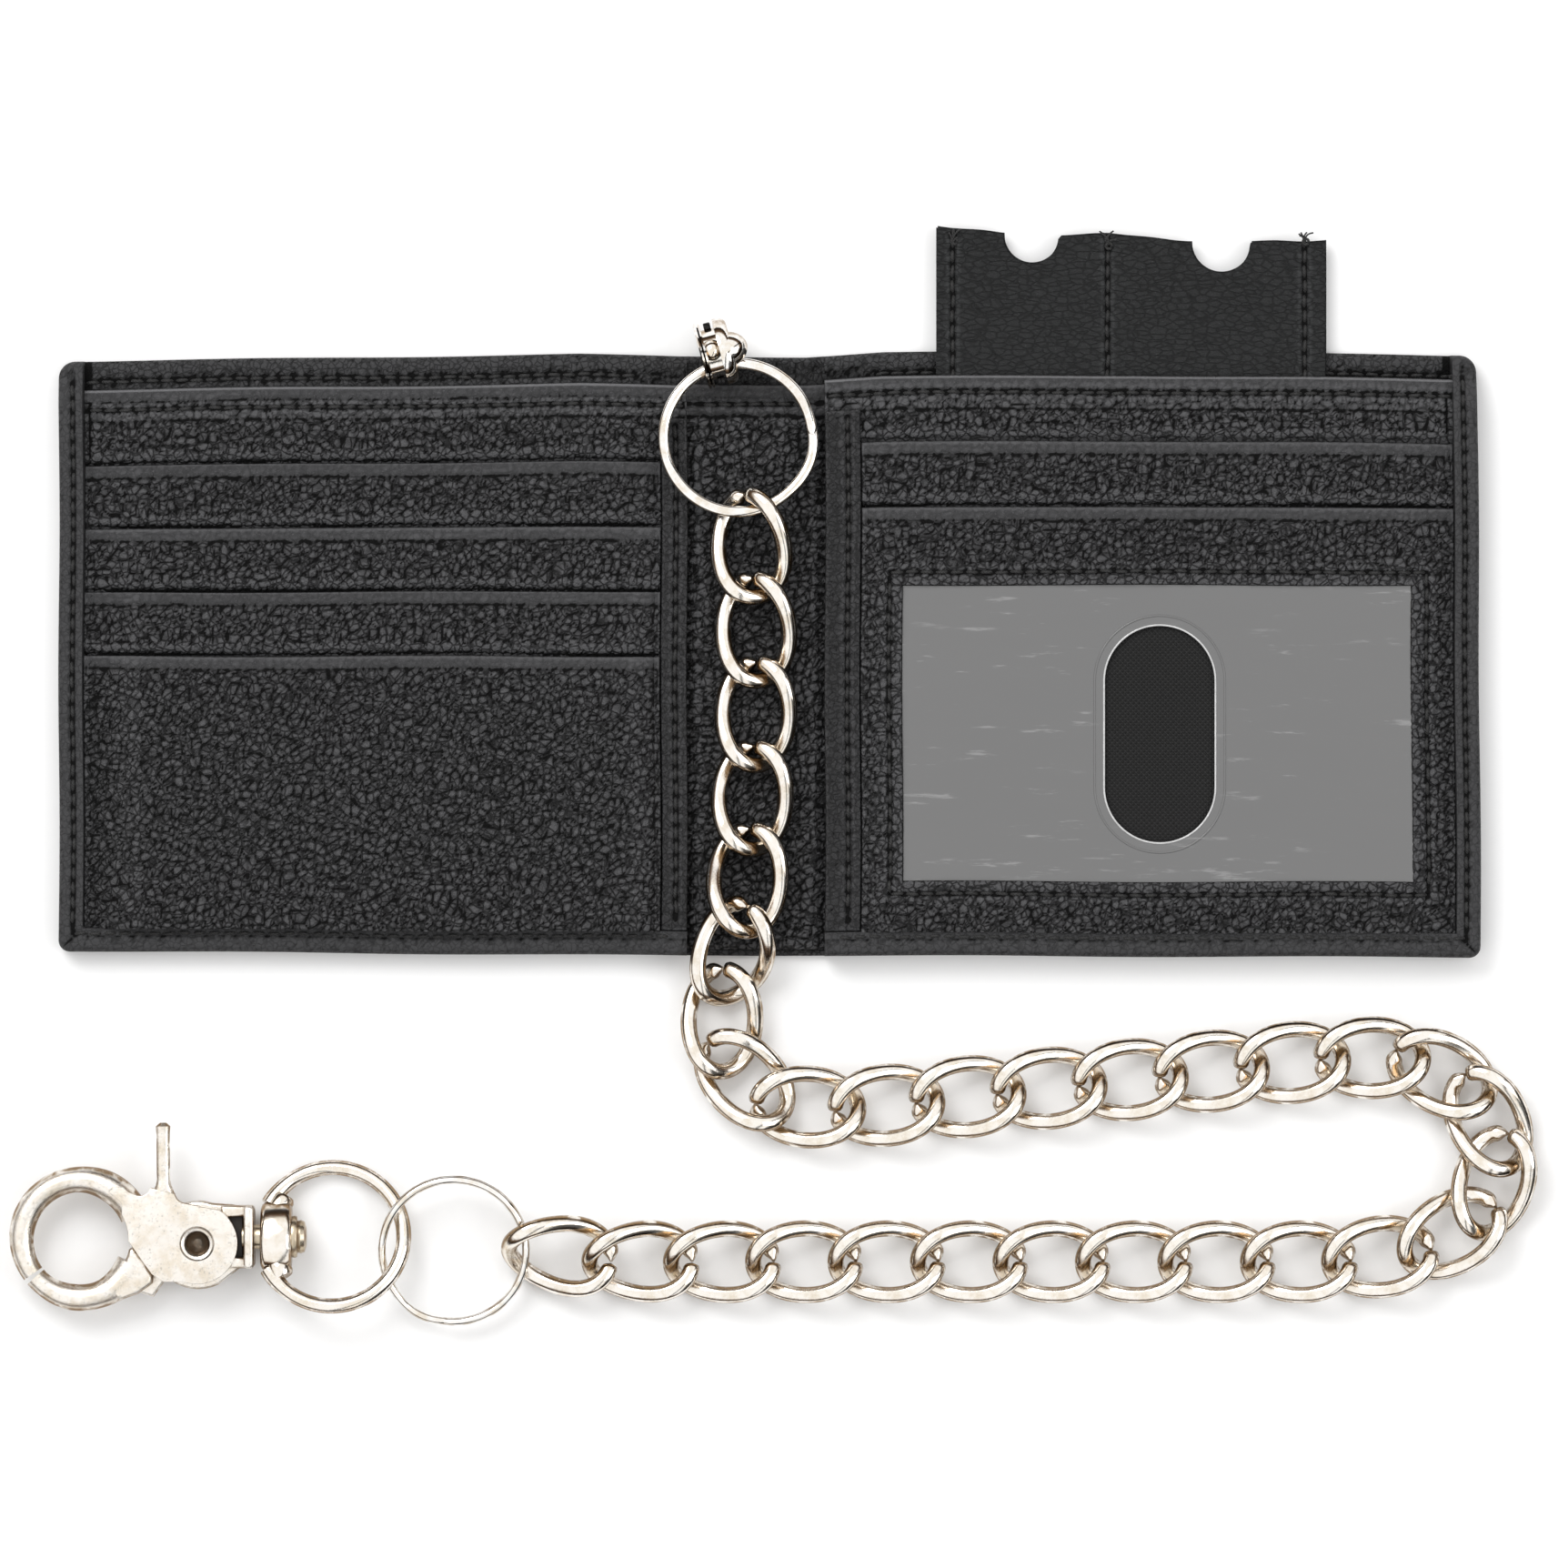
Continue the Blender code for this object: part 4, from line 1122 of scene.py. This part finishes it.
def split_ring(name, node, body, radius, half_wide, half_high, start, turns, bulge):
    """A flat wire wound nearly twice, its coils crossing at a small jog."""
    cloud = np.array([v.co for v in frame["nodes"][node].data.vertices]) / MM
    middle = (cloud.min(0) + cloud.max(0)) / 2
    _, axes = np.linalg.eigh((cloud - middle).T @ (cloud - middle))
    above = axes[:, 0] * np.sign(axes[2, 0])
    east = np.array([1, 0, 0]) - above * above[0]
    east /= np.linalg.norm(east)
    north = np.cross(above, east)
    count = 190
    angle = np.radians(start) + np.linspace(0, 2 * math.pi * turns, count)
    pitch = 2 * half_high + 0.12
    past_middle = np.linspace(0, 1, count) * turns - turns / 2
    height = -pitch / 2 * (smooth(np.abs(past_middle), 0.0, 0.16) * np.sign(past_middle))
    reach = (radius + bulge * dent(past_middle / 0.055, 1.0))[:, None]
    path = middle + reach * (np.cos(angle)[:, None] * east + np.sin(angle)[:, None] * north)
    path = path + height[:, None] * above
    size = np.tile([half_wide, half_high], (count, 1))
    size[0] *= (0.55, 0.75)
    size[-1] *= (0.55, 0.75)
    ring = sweep(name, path, size.T, RING, 16, up=above, flats=-0.05)
    finish_piece(ring, body, [node], 50)


# ---------------------------------------------------------------- the snap

def middle_of(node):
    return [(a + b) / 2 for a, b in zip(*limits(node))]


JAW = (-106.4, -91.7)      # centre of the round jaws, from above
PIVOT = tuple(middle_of("trigger_rivet")[:2])
SNAP_Y, SNAP_Z = middle_of("swivel_shaft")[1:]


def swivel_loop():
    """The cast loop, and the drum that the snap's post turns in."""
    low, high = limits("swivel_eye")
    tilt = Matrix.Rotation(math.radians(-17), 4, "X")
    drum_x = low[0] + 2.45
    middle = Vector((high[0] - 12.5, SNAP_Y, SNAP_Z))
    angle = degrees(-152, 152, 110)
    wide = 1.2 + 0.25 * smooth(np.abs(angle), 2.2, 2.7)
    path = np.stack([11.25 * np.cos(angle), 11.25 * np.sin(angle), 0 * angle], -1)
    loop = sweep("loop", path, (wide, wide), NICKEL, 20)
    loop.data.transform(Matrix.Translation(middle * MM) @ tilt)
    profile = [(2.75, -2.45), (4.6, -2.45), (5.2, -2.2), (5.5, -1.7), (5.55, 1.5), (5.35, 2.1),
               (4.7, 2.45), (2.75, 2.45)]
    drum = turned("drum", profile, (0, 0, 0), (1, 0, 0), NICKEL, 64)
    flat = Matrix.Diagonal((1, 1, 0.7, 1))
    drum.data.transform(shift(drum_x, SNAP_Y, SNAP_Z) @ tilt @ flat)
    pieces = [loop, drum]
    for side in (-1, 1):
        profile = [(0, -1.4), (1.75, -1.4), (1.95, -0.9), (1.85, 0.9), (1.55, 1.4), (0, 1.4)]
        collar = turned("collar", profile, (0, 0, 0), (0.45, side * 0.9, 0), NICKEL, 24)
        collar.data.transform(shift(drum_x + 0.4, SNAP_Y, SNAP_Z) @ tilt @ shift(0.2, side * 5.3, 0))
        pieces.append(collar)
    finish_piece(join("swivel_loop_look", pieces), "swivel_loop", ["swivel_eye"], 40)


def swivel_post():
    """The post through the drum, with its flange outside and its peened head inside the loop."""
    head = limits("swivel_shaft")[1][0]
    steps = [(0, 10.1), (1.9, 10.1), (1.95, 7.6), (2.15, 3.0), (2.3, 2.5), (3.25, 2.35), (3.35, 1.9),
             (3.2, 1.5), (2.5, 1.35), (2.65, 0.9), (2.4, 0.3), (1.4, 0.0), (0, 0.0)]
    profile = [(radius, head - back) for radius, back in steps]
    post = turned("swivel_post", profile, (0, 0, 0), (1, 0, 0), BRASSY, 40)
    post.data.transform(shift(0, SNAP_Y, SNAP_Z))
    finish_piece(post, "snap", ["swivel_shaft"], 40)


def jaw_path(start, end, steps):
    """The middle of a jaw, with its angles in degrees."""
    return [(x, y, SNAP_Z) for x, y in arc(JAW, 9.3, start, end, steps - 1)]


def across_neck(outline):
    """Lift an outline drawn about the line of the post onto it."""
    return [(x, SNAP_Y + y) for x, y in outline]


def snap_body():
    """Lower jaw, housing under the trigger, the neck with its flange, and a dark block of painted shade in
    the fork's gap.
    """
    path = jaw_path(220.5, 334, 50)
    run = np.linspace(0, 1, 50)
    wide = 1.75 + 0.35 * smooth(run, 0.05, 0.4) + 0.7 * smooth(run, 0.55, 1)
    high = 1.85 + 0.35 * smooth(run, 0.1, 0.6)
    jaw = sweep("lower_jaw", path, (wide, high), CAST, 22)
    wedge = arc(JAW, 7.9, -62, -12, 8) + [(-97.9, -92.9), (-94.9, -97.2), (-95.0, -98.7), (-97.2, -100.3),
                                          (-100.2, -101.4)]
    blend = slab("jaw_root", wedge, SNAP_Z - 2.2, SNAP_Z + 2.1, CAST, 0.8)
    cheek = arc(PIVOT, 6.6, 70, 150, 8) + [(-96.3, -94.2), (-98.5, -99.8), (-95.0, -100.9)]
    cheek += arc(PIVOT, 7.3, 228, 296, 8)
    cheek += [(-80.6, SNAP_Y - 4.4), (-80.6, SNAP_Y + 4.6), (-82.6, SNAP_Y + 5.0)]
    housing = slab("housing", cheek, SNAP_Z - 3.2, SNAP_Z - 0.2, CAST, 0.5)
    fork = []
    for side in (-1, 1):
        prong = [(-84.2, side * 3.0), (-80.2, side * 3.3), (-80.2, side * 4.9), (-84.2, side * 4.9)]
        fork.append(slab("fork", across_neck(prong[::side]), SNAP_Z - 2.6, SNAP_Z + 1.9, CAST, 0.4))
    plate = [(-80.6, -4.4), (-80.2, -4.9), (-79.3, -4.9), (-79.0, -4.4),
             (-79.0, 4.4), (-79.3, 4.9), (-80.2, 4.9), (-80.6, 4.4)]
    flange = slab("flange", across_neck(plate), SNAP_Z - 3.2, SNAP_Z + 3.2, CAST, 0.5)
    # Painted shade: a dark block set in the fork's gap, where there is only shade between the plate and the
    # flange.
    slot = [(-84.9, -3.1), (-80.8, -3.4), (-80.8, 3.4), (-84.9, 3.1)]
    gap = slab("fork_gap", across_neck(slot), SNAP_Z - 0.6, SNAP_Z + 0.4, FORK_SHADE, 0.2)
    pieces = [jaw, blend, housing, flange, gap, *fork]
    finish_piece(join("snap_body_look", pieces), "snap", ["snap_body"], 40)


def trigger():
    """The sprung upper jaw, which widens into a round plate with a thumb lever."""
    path = jaw_path(216.5, 22, 70)
    run = np.linspace(0, 1, 70)
    wide = 1.75 + 0.25 * smooth(run, 0.0, 0.3) + 0.4 * smooth(run, 0.6, 0.85)
    high = 1.8 + 0.45 * smooth(run, 0.1, 0.6) + 0.7 * smooth(run, 0.62, 0.9)
    jaw = sweep("upper_jaw", path, (wide, high), CAST, 22)
    outline = arc(JAW, 8.7, 58, 40, 3) + arc(JAW, 7.7, 30, -2, 6)
    outline += [(-98.0, -93.0), (-96.6, -95.0), (-95.0, -97.2), (-93.2, -98.4)]
    outline += arc(PIVOT, 6.35, 250, 415, 26)
    outline += arc((-89.6, -84.2), 1.9, 250, 190, 4) + arc((-97.0, -83.0), 1.9, -20, -95, 5)
    outline += arc(JAW, 10.7, 44, 50, 2) + arc(JAW, 9.9, 56, 58, 1)
    plate = slab("trigger_plate", outline, SNAP_Z + 0.5, SNAP_Z + 3.0, CAST, 0.75,
                 holes=[arc(PIVOT, 2.15, 0, 345, 23)])
    bezel = turned("bezel", [(2.05, -0.5), (2.55, -0.4), (2.75, 0.0), (2.45, 0.28), (2.05, 0.1)],
                   (*PIVOT, SNAP_Z + 3.0), (0, 0, 1), CAST, 40)
    foot, tip = Vector((-93.2, -86.0, SNAP_Z + 1.7)), Vector((-93.3, -73.4, SNAP_Z + 1.9))
    share = np.linspace(0, 1, 24)
    bar = [foot.lerp(tip, v) for v in share]
    swell = 1.12 + 1.1 * (1 - smooth(share, 0.0, 0.30)) + 0.12 * smooth(share, 0.85, 0.97)
    swell = swell * np.sqrt(np.clip(1 - (np.clip(share - 0.96, 0, 1) / 0.045) ** 2, 0.1, 1))
    lever = sweep("lever", bar, (swell, np.minimum(swell, 1.25)), CAST, 20, flats=0.08)
    whole = join("trigger_look", [jaw, plate, bezel, lever])
    finish_piece(whole, "snap_trigger", ["trigger"], 40)


def rivet():
    """The dished end of the rivet, dark with old grease."""
    profile = [(0, -3.0), (1.7, -3.0), (1.7, 1.1), (1.95, 1.2), (1.9, 1.9), (1.55, 2.1), (1.2, 1.6),
               (0.7, 1.25), (0.35, 1.35), (0, 1.4)]
    pin = turned("rivet_end", profile, (*PIVOT, SNAP_Z), (0, 0, 1), BROWN, 32)
    finish_piece(pin, "snap", ["trigger_rivet"], 40)


# ---------------------------------------------------------------- stage

def graded(nodes, links, value, tones):
    """Turn a value into a colour by (position, colour) pairs, the first at 0 and the last at 1."""
    ramp = nodes.new("ShaderNodeValToRGB")
    links.new(value, ramp.inputs[0])
    elements = ramp.color_ramp.elements
    elements[1].position = 1.0
    for position, _ in tones[1:-1]:
        elements.new(position)
    for element, (position, colour) in zip(elements, tones):
        element.position = position
        element.color = colour
    return ramp.outputs[0]


def room():
    """A white room with a dark brown horizon, and two dark strips that show in the metal."""
    world = bpy.data.worlds.new("studio")
    world.use_nodes = True
    bpy.context.scene.world = world
    nodes, links = world.node_tree.nodes, world.node_tree.links
    spot = nodes.new("ShaderNodeTexCoord").outputs["Generated"]
    split = nodes.new("ShaderNodeSeparateXYZ")
    links.new(spot, split.inputs[0])
    dark, white = (0.03, 0.02, 0.014, 1), grey(1)
    tones = ((0.0, dark), (0.16, dark), (0.34, (0.16, 0.10, 0.06, 1)), (0.44, white), (1.0, white))
    horizon = graded(nodes, links, split.outputs[2], tones)
    across = nodes.new("ShaderNodeVectorMath")
    across.operation = "DOT_PRODUCT"
    across.inputs[1].default_value = (0.86, -0.5, 0)
    links.new(spot, across.inputs[0])
    bands = ((0.0, 1), (0.40, 1), (0.43, 0.03), (0.50, 0.03), (0.53, 1), (0.74, 1), (0.77, 0.1), (1.0, 0.1))
    strips = graded(nodes, links, across.outputs["Value"], [(at, grey(v)) for at, v in bands])
    both = nodes.new("ShaderNodeMix")
    both.data_type = "RGBA"
    both.blend_type = "MULTIPLY"
    both.inputs[0].default_value = 1.0
    links.new(horizon, both.inputs[6])
    links.new(strips, both.inputs[7])
    back = nodes["Background"]
    links.new(both.outputs[2], back.inputs[0])
    back.inputs[1].default_value = 1.06


def stage():
    """White floor, a soft box from the top left and a weaker one from the right."""
    half = 3.0
    mesh = bpy.data.meshes.new("floor")
    mesh.from_pydata([(-half, -half, 0), (half, -half, 0), (half, half, 0), (-half, half, 0)], [],
                     [(0, 1, 2, 3)])
    mesh.materials.append(floor_look())
    floor = shown("floor", mesh)
    floor.location.z = CAD_BOX[0][2] - 0.0001
    for name, spot, power in (("key_box", (-0.5, 0.7, 0.95), 8.0), ("fill_box", (0.8, -0.1, 0.8), 3.0)):
        light = bpy.data.lights.new(name, "AREA")
        light.shape = "SQUARE"
        light.size = 0.7
        light.energy = power
        lamp = shown(name, light)
        lamp.location = spot
        lamp.rotation_euler = (-Vector(spot)).to_track_quat("-Z", "Y").to_euler()


def camera():
    """Straight down on the object, from far enough to flatten it."""
    view_width, distance = 0.2477, 1.6
    data = bpy.data.cameras.new("camera")
    data.sensor_width = 36
    data.lens = data.sensor_width * distance / view_width
    data.clip_end = 10
    seen = shown("camera", data)
    seen.location = (0.0044, -0.0201, distance)
    bpy.context.scene.camera = seen


# ---------------------------------------------------------------- assembly

camera()
stage()
room()
left_half()
right_half()
gutter()
grommet()
key_sleeve()
chain()
split_ring("wallet_ring_look", "split_ring_wallet", "wallet_ring", 11.7, 0.8, 0.42, 3, 1.9, 0.28)
split_ring("snap_ring_look", "split_ring_snap", "snap_ring", 11.35, 0.55, 0.42, -98, 1.88, 0.3)
swivel_loop()
swivel_post()
snap_body()
trigger()
rivet()
spring = frame["nodes"]["trigger_spring"]
spring.data.materials.clear()
spring.data.materials.append(BROWN)
bpy.context.scene.view_settings.view_transform = "Standard"

bpy.context.view_layer.update()
